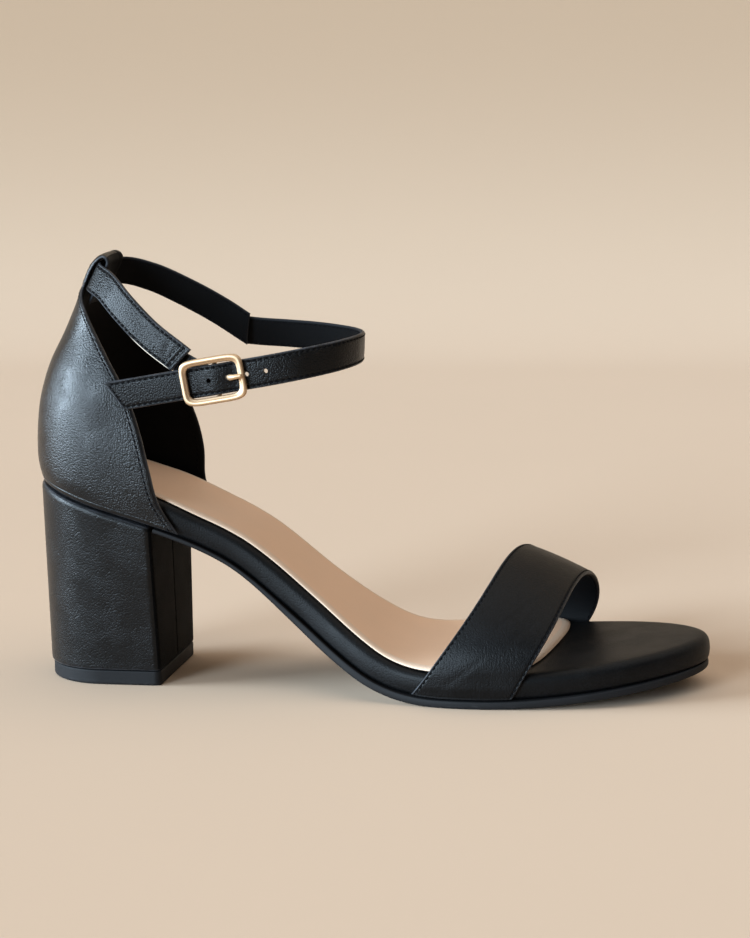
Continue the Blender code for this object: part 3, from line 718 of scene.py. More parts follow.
@made_once
def grained_leather(name, colour, pebble, depth, dull, gloss, draw=(1.0, 1.0, 1.0), turn=(0.0, 0.0, 0.0),
                    wrinkle=0.0, wrinkle_draw=(1.0, 1.0, 1.0), wrinkle_turn=(0.0, 0.0, 0.0), seam=None,
                    raw=None):
    """Black leather: round pebbles from the distance to cell middles, pores, wrinkles, seam, and a paler rim
    of wear and painted highlight.

    Height is one less the squared cell distance, lower where a patch noise is low, plus fine pores and
    long wrinkles from a stretched noise. A trough along the seam dips at each needle hole. The tint has
    painted shade between the pebbles and in the needle holes, and is paler at the rim, partly from edge
    wear and partly as a painted highlight; raw is the colour of a cut edge that shows.
    """
    made, shader, tree = new_finish(name, {"Specular IOR Level": gloss})
    place = tree.coordinates("Object")
    drift = place.noise(3.2, 1.0)
    cells = tree.node("ShaderNodeTexVoronoi", {"feature": "F1"},
                      {"Vector": place.mapped((1.0, 1.0, 1.0), turn).mapped(draw), "Scale": 1 / (pebble * MM),
                       "Randomness": 0.8})
    pores = place.noise(0.22, 2.0, 0.6)
    patch = place.noise(11.0, 2.0).step(0.34, 0.66)
    rim = tree.attribute("rim")
    pebbles = (1 - cells * cells * 2.2) * (0.6 + 0.4 * patch) * (0.8 + 0.4 * drift)
    height = pebbles + 0.15 * pores
    if wrinkle:
        long = place.mapped(wrinkle_draw, wrinkle_turn).noise(1.0, 3.0, 0.62)
        height = height + wrinkle * (1 - abs(long * 2 - 1)) ** 2.0
    normal = tree.bump(height, depth)
    # Paler rim: partly edge wear, partly a painted highlight along the edge
    wear_and_highlight = (1 - rim.step(0.1, 0.75)) * (0.35 + 0.65 * place.noise(3.0, 3.0).step(0.3, 0.7))
    tint = (0.3 * patch + 0.7 * pores).mix(shade(colour, 0.14), shade(colour, 0.28))
    # Painted shade: the tint is darker between the pebbles
    tint = pebbles.step(0.1, 0.7).mix(shade(colour, 0.08), tint)
    tint = (0.7 * wear_and_highlight).mix(tint, shade(colour, 3.2))
    rough = dull + 0.05 * (patch - 0.5) + 0.10 * (pores - 0.5)
    if seam:
        uv = tree.coordinates("UV")
        run = uv.axis(0)
        away = abs(rim - seam)
        line = 1 - away.step(0.05, 0.55)
        needle = (0.5 + 0.5 * (run * (2 * math.pi)).cosine()) ** 4.0
        near = 1 - away.step(0.05, 0.34)
        normal = tree.bump(1 - line * (0.45 + 0.55 * needle), 0.22, 1.0, normal)
        # Painted shade in the needle holes along the seam
        tint = (near * needle).mix(tint, shade(colour, 0.15))
        rough = rough + 0.5 * near * (0.4 + 0.6 * needle)
    if raw:
        bare = (1 - rim.step(0.3, 0.5)) * (1 - uv.axis(1).step(-0.01, 0.0))
        bare = bare * run.step(0.4, 1.4) * (1 - run.step(7.5, 10.0))
        tint = bare.mix(tint, raw)
    link(shader, Base_Color=tint, Roughness=rough, Normal=normal)
    return made


@made_once
def lining_leather(name, colour):
    """Smooth dark lining: fine pores, faint cloudy wear, and a paler rim that is partly edge wear and partly
    a painted highlight.
    """
    made, shader, tree = new_finish(name, {"Specular IOR Level": 0.08})
    place = tree.coordinates("Object")
    pores = place.noise(0.35, 3.0, 0.6)
    cloud = place.noise(9.0, 3.0)
    rim = tree.attribute("rim")
    tint = cloud.mix(shade(colour, 0.1), shade(colour, 0.22))
    # Paler rim: partly edge wear, partly a painted highlight along the edge
    tint = (0.4 * (1 - rim.step(0.1, 0.7))).mix(tint, shade(colour, 2.4))
    link(shader, Base_Color=tint, Roughness=0.62 + 0.2 * (cloud - 0.5), Normal=tree.bump(pores, 0.05, 0.6))
    return made


@made_once
def moulded_rubber(name, colour):
    """Matt rubber: fine speckle, cloudy bloom and lighter scuffs towards the floor."""
    made, shader, tree = new_finish(name, {"Specular IOR Level": 0.14})
    place = tree.coordinates("Object")
    speckle = place.noise(0.3, 2.0, 0.6)
    cloud = place.noise(12.0, 4.0)
    height = place.axis(2)
    drag = place.mapped((0.25, 0.25, 2.0)).noise(1.2, 4.0, 0.65)
    low = 1 - height.step(0.2 * MM, 2.4 * MM)
    tint = cloud.mix(shade(colour, 0.3), shade(colour, 0.6))
    tint = (0.5 * low * drag.step(0.5, 0.75)).mix(tint, shade(colour, 2.0))
    normal = tree.bump(speckle + 0.4 * drag, 0.05, 0.8)
    link(shader, Base_Color=tint, Roughness=0.58 + 0.22 * (cloud - 0.4), Normal=normal)
    return made


@made_once
def sock_leather(name, colour, cut):
    """Tan sock: matt, softly mottled with fine pores, its cut edge paler."""
    made, shader, tree = new_finish(name, {"Specular IOR Level": 0.35})
    place = tree.coordinates("Object")
    pores = place.noise(0.4, 3.0, 0.6)
    cloud = place.noise(16.0, 3.0)
    fleck = place.noise(0.9, 2.0)
    rim = tree.attribute("rim")
    tint = (0.7 * cloud + 0.3 * fleck).mix(shade(colour, 0.93), shade(colour, 1.07))
    tint = (0.85 * (1 - rim.step(0.15, 0.6))).mix(tint, shade(cut, 1.0))
    normal = tree.bump(pores + 0.5 * fleck, 0.06, 0.7)
    link(shader, Base_Color=tint, Roughness=0.56 + 0.16 * (cloud - 0.5), Normal=normal)
    return made


@made_once
def satin_metal(name, colour, dull):
    """Pale gold plating: satin, with faint rubbed lines and clouded polish."""
    made, shader, tree = new_finish(name, {"Metallic": 1.0})
    place = tree.coordinates("Object")
    rubbed = place.mapped((0.2, 1.0, 1.6)).noise(0.25, 3.0, 0.6)
    cloud = place.noise(3.0, 2.0)
    tint = cloud.mix(shade(colour, 0.93), shade(colour, 1.05))
    link(shader, Base_Color=tint, Roughness=dull + 0.10 * cloud + 0.06 * rubbed,
         Normal=tree.bump(rubbed, 0.003, 0.5))
    return made


@made_once
def waxed_thread(name, colour):
    """Waxed thread: two plies that wind round each stitch, read from the stitch's own map."""
    made, shader, tree = new_finish(name, {"Specular IOR Level": 0.06})
    uv = tree.coordinates("UV")
    run = uv.axis(0)
    turn = uv.axis(1)
    ply = 0.5 + 0.5 * ((run * 2.0 + turn) * (4 * math.pi)).cosine()
    tint = ply.mix(shade(colour, 0.5), shade(colour, 1.4))
    link(shader, Base_Color=tint, Roughness=0.7 + 0.2 * ply, Normal=tree.bump(ply, 0.05, 0.8))
    return made


@made_once
def pale_sweep(name, floor, sweep):
    """Matt pale floor: faint wide patches, turning to the sweep's colour with the root of the height."""
    made, shader, tree = new_finish(name, {"Roughness": 0.9, "Specular IOR Level": 0.0})
    place = tree.coordinates("Object")
    tint = place.noise(260.0, 2.0).mix(shade(floor, 0.985), shade(floor, 1.015))
    link(shader, Base_Color=(place.axis(2) ** 0.5).step(0.0, 0.7).mix(tint, shade(sweep, 1.0)))
    return made


def stitch_total(length, sizes):
    """Number of stitches in a length: the nearest whole number of pitches, and at least one."""
    return max(1, int(round(length / (sizes.pitch / MM))))


def stitch_sheet(line, normal, sizes):
    """Row of stitches along a line, as a stack of like grids.

    A stitch is a tube about the line's direction, its radius the fourth root of one less the squared
    share of its length, arched up from needle hole to needle hole and turned a little off the line.
    """
    length, radius = sizes.length / MM, sizes.thread / MM
    knots = lengths(line)
    count = stitch_total(knots[-1], sizes)
    at = (np.arange(count) + 0.5) * knots[-1] / count
    read = [np.stack([np.interp(place, knots, grid[:, axis]) for axis in range(3)], -1)
            for grid, place in ((line, at), (line, at + 0.1), (line, at - 0.1), (normal, at))]
    centre, ahead, behind, upward = read
    along = unit(ahead - behind)
    upward = unit(upward - along * (along * upward).sum(-1, keepdims=True))
    side = np.cross(upward, along)
    share = np.linspace(-1, 1, 7)[:, None, None]
    turn = np.linspace(0, 2 * np.pi, 6, endpoint=False)[None, :, None]
    thick = radius * (1 - share ** 2) ** 0.25
    reach = share * length / 2
    centre, along, side, upward = (grid[:, None, None, :] for grid in (centre, along, side, upward))
    grid = centre + along * (reach * math.cos(STITCH_SLANT)) + side * (reach * math.sin(STITCH_SLANT))
    grid = grid + upward * (STITCH_ARCH * (1 - share ** 2) - STITCH_SINK) + side * (thick * np.cos(turn))
    grid = grid + upward * (thick * np.sin(turn))
    mapped = np.stack([(reach + 0 * turn)[..., 0], (turn / (2 * np.pi) + 0 * reach)[..., 0]], -1)
    return Sheet(grid, mapped, 0.0)


def phase(line, sizes):
    """Count of stitches run so far along a line, whole numbers at the needle holes."""
    knots = lengths(line)
    return knots / knots[-1] * stitch_total(knots[-1], sizes)


def stitch_counts(grid, column, first_half, sizes):
    """Stitches run so far along a grid, counted on the stitched column of its first or other half."""
    first = phase(grid[:, column], sizes)[:, None]
    other = phase(grid[:, -1 - column], sizes)[:, None]
    return np.where(first_half, first, other)


def edge_lines(outer, inner, normal, column, outer_rows, inner_rows):
    """Stitch lines a column in from both long edges, each on the outer and on the inner face."""
    found = []
    for place in (column, -1 - column):
        found.append((outer[outer_rows, place], normal[outer_rows, place]))
        found.append((inner[inner_rows, place], -normal[inner_rows, place]))
    return found


def trough(distance, depth):
    """Bell-shaped trough: its depth falls off with the squared distance from a row of stitches."""
    return -depth * np.exp(-(distance / TROUGH_WIDTH) ** 2)


def creased(run, across, creases):
    """Sum of soft troughs and ridges: each a bell along the run, fading across the strap."""
    total = np.zeros(np.broadcast(run, across).shape)
    for at, half, width, depth, slant in creases:
        total += depth * np.exp(-((run - at - slant * across) / width) ** 2) * np.exp(-(across / half) ** 4)
    return total


def tab_row(path):
    """Counter rows of the back tab: a shallow arc of fixed width carried along its path."""
    fixed = np.tile((TAB_NOSE, TAB_ROUND), (len(path), 1))
    front = path + np.array((TAB_SAG, 0.0))
    return np.hstack([path, fixed, front, np.zeros((len(path), 1))])


def counter_rows():
    """Counter sections from its foot up the heel, over the strap and down inside it.

    The tab's path in the middle plane is a line behind the strap that bulges away from it, a quarter
    of a tall oval up to the top, a quarter of a small oval and a line down inside. It leans as the
    strap does. Given with it are the number of sections to the tab and to its top.
    """
    up = np.array((math.sin(STRAP_BACK_LEAN), math.cos(STRAP_BACK_LEAN)))
    ahead = np.array((math.cos(STRAP_BACK_LEAN), -math.sin(STRAP_BACK_LEAN)))
    centre = np.array((STRAP_BACK_X, STRAP_BACK_Z))
    radius = STRAP_WALL / 2 + TAB_CLEARANCE + COUNTER_WALL
    half = BACK_STRAP_WIDTH / 2
    low = np.linspace(TAB_FOOT, 0.0, 3)[:, None]
    behind = centre - (radius + TAB_BULGE * ease(TAB_BULGE_LOW, 0.0, low)) * ahead + low * up
    turn = np.linspace(0, np.pi / 2, 26)[1:, None]
    tall = TAB_TOP - TAB_START
    rise = centre - (radius + TAB_BULGE) * np.cos(turn) * ahead + (TAB_START + tall * np.sin(turn)) * up
    over = centre + radius * np.sin(turn) * ahead + (half + (TAB_TOP - half) * np.cos(turn)) * up
    fall = np.concatenate([np.linspace(half, 1.4 - half - TAB_LEG, 18)[1:],
                           ROLL[5::-1] - half - TAB_LEG])[:, None]
    inside = centre + radius * ahead + fall * up
    lower = np.vstack([COUNTER_ROWS, tab_row(behind)])
    index = np.concatenate([ROLL[:10] / COUNTER_FOOT_STEP, np.linspace(0.34, len(lower) - 1, 84)])
    rows = through(np.arange(len(lower)), lower, index)
    return np.vstack([rows, tab_row(rise), tab_row(over), tab_row(inside)]), len(rows), len(rows) + len(rise)


def counter_face(rows, side):
    """Outer face of the counter on one side, read at the roll's distances from its front edge.

    In plan a row is a quarter of an ellipse from the back, then straight on. Its height runs evenly
    from the back to the front edge, and the tab tips up towards the inner side.
    """
    back_x, back_z, nose, width, front_x, front_z, lead = (rows[:, [column]] for column in range(7))
    reach = front_x - back_x + lead * (side > 0)
    end = np.arccos(np.clip(1 - reach / nose, 0, 1))
    arc = end * (nose + width) / 2
    length = arc + np.maximum(reach - nose, 0)
    share = np.linspace(0, 1, 46)[None, 1:]
    near = ROLL * np.minimum(1, 0.6 * length / ROLL[-1])
    far = blend(near[:, -1:], length, share)
    edge = np.hstack([near, far])
    run = length - edge
    turn = np.minimum(run / arc, 1) * end
    ahead = nose * (1 - np.cos(turn)) + np.maximum(run - arc, 0)
    height = back_z + (front_z - back_z) * ahead / reach
    y = side * width * np.sin(turn)
    return np.stack([back_x + ahead, y, height + TAB_TILT * y * ease(*TAB_TILT_RISE, back_z)], -1), edge


def counter_sheets(sizes):
    """Closed back as a wall inside its outer face, with a raised binding along the front edges.

    Past the top of the tab its outer face is a sheet of its own, with the lining's finish.
    """
    rows, lower, top = counter_rows()
    outer_side, outer_edge = counter_face(rows, -1.0)
    inner_side, inner_edge = counter_face(rows, 1.0)
    face = np.concatenate([outer_side, inner_side[:, -2::-1]], axis=1)
    edge = np.concatenate([outer_edge, inner_edge[:, -2::-1]], axis=1)
    middle = face - grid_normals(face) * COUNTER_WALL / 2
    run = lengths(face)
    rim = np.minimum(np.minimum(edge, run), run[-1] - run)
    fade = np.clip((BINDING_TOP - rows[:, [1]]) / BINDING_FADE, 0, 1)
    bound = BINDING_STEP * (1 - ease(*BINDING_FALL, edge)) * blend(BINDING_LEAST, 1, fade)
    bound = bound + trough(edge - ROLL[BOUND_STITCH], UPPER_TROUGH)
    outer_half = np.arange(face.shape[1])[None] <= face.shape[1] // 2
    mapped = np.stack([stitch_counts(face, BOUND_STITCH, outer_half, sizes), edge], -1)
    sheets, outer, inner, normal = shell(middle, rim, COUNTER_WALL, BOUND_ROLL, bound, False, mapped)
    sewn = slice(2, lower + 6)
    fold = top + 4
    sheets = [Sheet(outer[:fold + 1], mapped[:fold + 1], rim[:fold + 1], False),
              Sheet(outer[fold:], mapped[fold:], rim[fold:], False, 1), sheets[1]]
    return sheets, edge_lines(outer, inner, normal, BOUND_STITCH, sewn, sewn)


def vamp_face(foot, turn, across):
    """Middle surface of the vamp strap: a leg beside the footbed, an arch over the foot, a leg.

    The arch is half an ellipse between the outer and inner edges of the footbed, bowed forward by a
    sine, crowned between its edges and led forward at the inner foot. A leg drops beside the footbed.
    """
    across = across + 0 * foot
    outer_x, inner_x, bow, rise = (blend(VAMP_REAR[i], VAMP_FRONT[i], across) for i in range(4))
    stand_off = GAP + VAMP_WALL / 2
    lean = bow * (1 + 3 * VAMP_SHOULDER) / rise
    tuck = VAMP_TUCK * np.clip((foot - VAMP_TUCK_START) / (VAMP_LEG - VAMP_TUCK_START), 0, 1)

    def leg(top_x, side, column, rows):
        x = top_x[rows] - foot[rows] * lean[rows]
        away = half_widths(x)[..., column] + stand_off - tuck[rows]
        return np.stack([x, side * away, top_height(x) - foot[rows]], -1)

    share = (1 - np.cos(turn)) / 2
    outer_y = -(half_widths(outer_x)[..., 0] + stand_off)
    inner_y = half_widths(inner_x)[..., 1] + stand_off
    crown = VAMP_CROWN * 4 * across * (1 - across) * np.sin(turn)
    x = blend(outer_x, inner_x - VAMP_LEAD, share) + VAMP_LEAD * share ** VAMP_LEAD_POWER
    x = x + bow * (np.sin(turn) + VAMP_SHOULDER * np.sin(3 * turn))
    y = blend(outer_y, inner_y, share) + VAMP_SKEW * np.sin(turn) ** 2 - crown * np.cos(turn)
    z = blend(top_height(outer_x), top_height(inner_x), share) + (rise + crown) * np.sin(turn)
    arch = np.stack([x, y, z], -1)
    near = (foot[:, 0] > 0) & (turn[:, 0] < 1)
    far = (foot[:, 0] > 0) & (turn[:, 0] > 1)
    arch[near] = leg(outer_x, -1, 0, near)
    arch[far] = leg(inner_x, 1, 1, far)
    return arch


def vamp_sheets(settings):
    """Vamp strap as a wall about its middle surface, read closely along both long edges."""
    drop = np.concatenate([VAMP_LEG - ROLL[:8], np.linspace(VAMP_LEG_EVEN, 0, 9)[:-1]])
    arch = np.linspace(0, np.pi, 190)
    foot = np.concatenate([drop, 0 * arch, drop[::-1]])[:, None]
    turn = np.concatenate([0 * drop, arch, 0 * drop + np.pi])[:, None]
    ends = vamp_face(foot, turn, np.array([[0.0, 1.0]]))
    width = np.linalg.norm(ends[:, 1] - ends[:, 0], axis=-1)[:, None]
    low = -VAMP_TURN_REAR / width
    high = 1 + VAMP_TURN_FRONT / width
    edge = ROLL[None, :] / width
    even = blend(low + edge[:, -1:], high - edge[:, -1:], np.linspace(0, 1, 36)[None, :])
    across = np.hstack([low + edge[:, :-1], even, high - edge[:, -2::-1]])
    middle = vamp_face(foot, turn, across)
    run = lengths(middle)
    side = np.minimum(across - low, high - across) * width
    rim = np.minimum(np.minimum(side, run), run[-1] - run)
    relief = trough(side - ROLL[EDGE_STITCH], UPPER_TROUGH)
    for at, share, length, thick, depth, slant in VAMP_CREASES:
        place = (across - share) * width
        relief = relief + depth * np.exp(-((run - at - slant * place) / thick) ** 2 - (place / length) ** 2)
    mapped = np.stack([stitch_counts(middle, EDGE_STITCH, across < 0.5, settings.stitch), across * width], -1)
    roll = settings.leather.roll / MM
    sheets, outer, inner, normal = shell(middle, rim, VAMP_WALL, roll, relief, True, mapped)
    return sheets, edge_lines(outer, inner, normal, EDGE_STITCH, slice(6, -6), slice(16, -16))


def band(route, run, across):
    """Flat band along a route: upright where its lean is zero, tipped inwards by the lean."""
    knots = lengths(route[:, :3])
    small = 0.05
    centre = through(knots, route, run)
    along = unit((through(knots, route, run + small) - through(knots, route, run - small))[..., :3])
    outward = unit(np.stack([-along[..., 1], along[..., 0], 0 * run], -1))
    upward = np.cross(along, outward)
    lean = np.radians(centre[..., 3:])
    return centre[..., :3] + across[..., None] * (np.cos(lean) * upward - np.sin(lean) * outward)


def strap_sheets(route, width, start, stop, creases, settings):
    """Ankle strap as a wall about its band, its ends cut along start and stop over its width."""
    half = width / 2
    across = (along_edge(width, 0.75) - half)[None, :]
    total = lengths(route[:, :3])[-1]
    first = start(across)
    last = total + stop(across)
    places = along_edge(total, 0.62)[:, None]
    share = (places - STRAP_END) / (total - 2 * STRAP_END)
    even = blend(first + STRAP_END, last - STRAP_END, share)
    run = np.where(places > total - STRAP_END, last - (total - places), even)
    run = np.where(places < STRAP_END, first + places, run)
    middle = band(route, run, across + 0 * run)
    side = half - np.abs(across) + 0 * run
    rim = np.minimum(side, np.minimum(run - first, last - run))
    relief = creased(run, across, creases) + trough(rim - ROLL[EDGE_STITCH], STRAP_TROUGH)
    relief = relief + STRAP_CROWN * np.clip(1 - (across / half) ** 2, 0, 1)
    count = stitch_counts(middle, EDGE_STITCH, across < 0, settings.stitch)
    mapped = np.stack([count, side * np.sign(across)], -1)
    return shell(middle, rim, STRAP_WALL, settings.leather.roll / MM, relief, True, mapped)


def buckle_axes():
    """Directions of the buckle: along the strap, up across it, and outwards."""
    along = np.array((math.cos(BUCKLE_PITCH) * math.cos(BUCKLE_YAW),
                      -math.cos(BUCKLE_PITCH) * math.sin(BUCKLE_YAW), math.sin(BUCKLE_PITCH)))
    outward = np.array((-math.sin(BUCKLE_YAW), -math.cos(BUCKLE_YAW), 0.0))
    return along, np.cross(outward, along), outward


def on_buckle(points):
    """Points in the buckle's own directions carried to the last's frame."""
    return BUCKLE_CENTRE + points @ np.array(buckle_axes())


def front_route():
    """Route of the front strap: round the ankle, over the buckle's bar and on to its tip."""
    along, _, outward = buckle_axes()
    straight = BUCKLE_CENTRE + BUCKLE_PASS[:, :1] * along + BUCKLE_PASS[:, 1:] * outward
    return np.vstack([FRONT_STRAP_ROUTE, np.column_stack([straight, np.zeros(len(straight))])])


def punch(made, radius):
    """Cuts the strap's holes with round pins along the buckle's outward direction.

    The pins are turned by half a side, so that no side's edge lies in the strap's middle line.
    """
    turn = 2 * np.pi * (np.arange(PIN_SIDES) + 0.5)[None, :] / PIN_SIDES
    reach = np.array((0.0, radius, radius, 0.0))[:, None]
    depth = np.array((-PIN_REACH, -PIN_REACH, PIN_REACH, PIN_REACH))[:, None]
    pins = []
    for number in range(HOLE_COUNT):
        x = HOLE_FIRST + HOLE_PITCH * number + reach * np.cos(turn)
        grid = on_buckle(np.stack([x, reach * np.sin(turn), depth + 0 * turn], -1))
        pins.append(Sheet(grid, rim=0.0))
    pin = bpy.data.objects.new("hole_pins", grid_mesh("hole_pins", pins))
    bpy.context.scene.collection.objects.link(pin)
    cut = made.modifiers.new("holes", "BOOLEAN")
    cut.object = pin
    bpy.context.view_layer.update()
    shape = made.evaluated_get(bpy.context.evaluated_depsgraph_get())
    punched = bpy.data.meshes.new_from_object(shape)
    made.modifiers.clear()
    whole = made.data
    made.data = punched
    punched.name = made.name
    punched.set_sharp_from_angle(angle=math.radians(55))
    bpy.data.meshes.remove(whole)
    bpy.data.objects.remove(pin)


def cushion(arm, half, power):
    """Rounded oblong: cosine and sine raised to two over the power, times the half sizes."""
    return np.sign(arm) * np.abs(arm) ** (2 / power) * half


def tube(path, radius, binormal):
    """Closed round tube about a path in the buckle's directions, its ends rounded to a point.

    A ring is the radius times the cosine along the binormal plus the sine along the cross of the
    path's direction with it.
    """
    along = unit(np.gradient(path, axis=0))
    across = np.cross(along, binormal)
    turn = np.linspace(0, 2 * np.pi, 20, endpoint=False)[None, :, None]
    ring = radius[:, None, None] * (np.cos(turn) * binormal + np.sin(turn) * across[:, None])
    return Sheet(on_buckle(path[:, None] + ring))


def wire_path(points, count, radius):
    """Smooth path through points with its ends read closely, and a radius that rounds both ends."""
    points = np.array(points)
    knots = lengths(points)
    cap = radius * (1 - np.cos(np.linspace(0, np.pi / 2, 7)))
    at = np.concatenate([cap[:-1], np.linspace(radius, knots[-1] - radius, count), knots[-1] - cap[-2::-1]])
    ends = np.minimum(at, knots[-1] - at)
    return through(knots, points, at), radius * rolled(ends, radius), at / knots[-1]


def heel_ring(sizes, seam):
    """D-shaped plans: half an ellipse at the back, straight sides, rounded corners, seamed breast."""
    back, nose, width, breast = (sizes[:, [i]] for i in range(4))
    turn = np.pi / 2 * (np.arange(44) + 0.5)[None] / 44
    rounded = np.stack([back + nose * (1 - np.cos(turn)), width * np.sin(turn)], -1)
    share = np.linspace(0, 1, 12)[None]
    side_x = blend(back + nose + 0.8, breast - HEEL_CORNER, share)
    side = np.stack([side_x, width + 0 * side_x], -1)
    turn = np.linspace(0, np.pi / 2, 12)[None, 1:]
    corner_x = breast - HEEL_CORNER * (1 - np.sin(turn))
    corner = np.stack([corner_x, width - HEEL_CORNER * (1 - np.cos(turn))], -1)
    near = np.array((1.2, 0.9, 0.65, 0.45, 0.3, 0.18, 0.06))[None]
    y = np.hstack([blend(width - HEEL_CORNER, 1.5, np.linspace(0, 1, 12)[None, 1:]), near + 0 * width])
    x = breast - seam * SEAM_DEPTH * np.exp(-(y / SEAM_WIDTH) ** 2)
    half = np.concatenate([rounded, side, corner, np.stack([x, y], -1)], axis=1)
    return two_sided(half[..., 0], half[..., 1], half[..., 1])


def middle_line(ring):
    """Line in the middle of closed plan rings, shortened to six tenths."""
    x = ring[..., 0]
    middle = (x.min(axis=-1, keepdims=True) + x.max(axis=-1, keepdims=True)) / 2
    return np.stack([middle + 0.6 * (x - middle), 0 * x], -1)


def capped(plan):
    """Stack of plan rings, closed at both ends by their own middle lines."""
    return np.concatenate([middle_line(plan[:1]), plan, middle_line(plan[-1:])])


def rolled_in(height, total, low, high):
    """Inset of a wall whose lower and upper edges roll in by quarter rounds of a height and an inset."""
    return low[1] * (1 - rolled(height, low[0])) + high[1] * (1 - rolled(total - height, high[0]))


def heel_sheets():
    """Block heel between its foot and top outlines, as a round back and a breast.

    Height runs evenly from the top piece to the sloping seat, and both edges roll in.
    """
    foot = LIFT_HEIGHT + GAP
    share = HEEL_SHARES[:, None]
    ring = heel_ring(blend(HEEL_FOOT, HEEL_TOP, share), 1.0)
    plan = capped(inset(ring, rolled_in(share, 1.0, HEEL_FOOT_ROLL, HEEL_TOP_ROLL)))
    share = np.concatenate([share[:1], share, share[-1:]])
    seat = top_height(plan[..., 0]) - (FOOTBED_THICKNESS + GAP) * math.sqrt(1 + SEAT_SLOPE ** 2)
    points = np.concatenate([plan, blend(foot, seat, share)[..., None]], -1)
    rim = np.full(points.shape[:2], RIM_CLEAR_OF_EDGE_TINT)
    rim[1:-1] = np.minimum(share[1:-1], 1 - share[1:-1]) * HEEL_HEIGHT
    half = points.shape[1] // 2
    breast = np.arange(half - BREAST_COLUMNS, half + BREAST_COLUMNS)
    round_back = np.arange(half + BREAST_COLUMNS - 1, 3 * half - BREAST_COLUMNS + 1) % points.shape[1]
    return [Sheet(points[:, columns], points[:, columns, 1:], rim[:, columns], False, number)
            for number, columns in enumerate((round_back, breast))]


def top_piece_sheet():
    """Rubber top piece: one outline at every height, its lower and upper edges rolled in."""
    height = LIFT_HEIGHTS[:, None]
    ring = heel_ring(LIFT_OUTLINE + 0 * height, 0.0)
    plan = capped(inset(ring, rolled_in(height, LIFT_HEIGHT, LIFT_FOOT_ROLL, LIFT_TOP_ROLL)))
    height = np.concatenate([height[:1], height, height[-1:]]) + 0 * plan[..., 0]
    points = np.concatenate([plan, height[..., None]], -1)
    return Sheet(points, points[..., 1:])


def frame_sheet(wide):
    """Buckle's frame: its section laid from an inner to an outer rounded oblong, all the way round."""
    turn = np.linspace(0, 2 * np.pi, 240, endpoint=False)
    arm = np.stack([np.cos(turn), np.sin(turn)], -1)
    half = np.array((FRAME_LENGTH / 2, FRAME_HEIGHT / 2))
    outer = cushion(arm, half + wide, FRAME_OUTER_POWER)[:, None]
    inner = cushion(arm, half - wide, FRAME_INNER_POWER)[:, None]
    section = fine_edge(FRAME_SECTION + FRAME_SECTION[:1], 41)[None, :-1]
    outward = FRAME_OUT + FRAME_BAR * section[..., 1:] + 0 * inner[..., :1]
    grid = np.concatenate([blend(inner, outer, section[..., :1]), outward], -1)
    return Sheet(on_buckle(np.concatenate([grid, grid[:1]])))


def bar_sheet():
    """Buckle's bar: a tube from behind the frame's one side, bent in under the strap, to its other side."""
    end = FRAME_HEIGHT / 2 - BAR_INSET
    reach = FRAME_OUT - FRAME_BAR - GAP - BAR_RADIUS
    upper = np.array([(0, end - BAR_BEND, BAR_IN), (0, end, BAR_IN + BAR_BEND), (0, end, reach)])
    path, radius, _ = wire_path(np.vstack([upper[::-1] * (1, -1, 1), upper]), 60, BAR_RADIUS)
    return tube(path, radius, np.array((1.0, 0, 0)))


def prong_sheet():
    """Buckle's prong: a swelling tube up through the strap's second hole and forward over the frame."""
    hole = HOLE_FIRST + HOLE_PITCH
    tip = FRAME_LENGTH / 2
    under = BAR_IN + BAR_RADIUS + HOLDER_WALL + 2 * GAP + PRONG_RADIUS
    over = FRAME_OUT + FRAME_BAR + GAP + PRONG_RADIUS
    path, radius, share = wire_path([(hole + 0.1, 0, under), (hole + 0.3, 0, 0.6), (hole + 0.8, 0, 1.9),
                                     (hole + 2.6, 0, over - 0.2), (tip, 0, over), (tip + 0.9, 0, over)],
                                    50, PRONG_RADIUS)
    return tube(path, radius * np.interp(share, *np.transpose(PRONG_SWELL)), np.array((0, 1.0, 0)))


def holder_sheets():
    """Buckle's leather loop: a tail under the strap that climbs to its end, and a fold round the bar."""
    ring = BAR_RADIUS + GAP + HOLDER_WALL / 2
    turn = np.linspace(-np.pi / 2, np.pi / 2, 9)
    fold = np.stack([ring * np.cos(turn), BAR_IN + ring * np.sin(turn)], -1)
    tail = [(-17.0, BAR_IN - 3.3), (-12.0, BAR_IN - 3.2), (-7.0, BAR_IN - ring), (-3.0, BAR_IN - ring)]
    route = np.vstack([tail, fold, [(-4.0, BAR_IN + ring)]])
    knots = lengths(route)
    at = along_edge(knots[-1], 0.35)
    line = through(knots, route, at)
    rise = HOLDER_SLOPE * np.maximum(-line[:, :1] - HOLDER_LEVEL, 0)
    across = (along_edge(HOLDER_WIDTH, 0.6) - HOLDER_WIDTH / 2)[None, :]
    local = np.stack([line[:, :1] + 0 * across, rise + across, line[:, 1:] + 0 * across], -1)
    rim = np.minimum(HOLDER_WIDTH / 2 - np.abs(across), np.minimum(at, knots[-1] - at)[:, None])
    mapped = np.stack([(at / 2)[:, None] + 0 * across, rim], -1)
    return shell(on_buckle(local), rim, HOLDER_WALL, HOLDER_ROLL, 0 * rim, False, mapped)[0]


def floor_grid():
    """Flat floor that turns up behind the shoe in a quarter circle to an upright wall, in metres."""
    turn = np.linspace(0, np.pi / 2, 40)
    wall = SWEEP_START + SWEEP_RADIUS
    level = np.linspace(-FLOOR_HALF, SWEEP_START, 12)[:-1]
    y = np.concatenate([level, SWEEP_START + SWEEP_RADIUS * np.sin(turn), (wall, wall)])
    z = np.concatenate([0 * level, SWEEP_RADIUS * (1 - np.cos(turn)), WALL_HEIGHTS])
    x = np.linspace(-FLOOR_HALF, FLOOR_HALF, 9)[:, None]
    return np.stack(np.broadcast_arrays(x, y, z), -1)


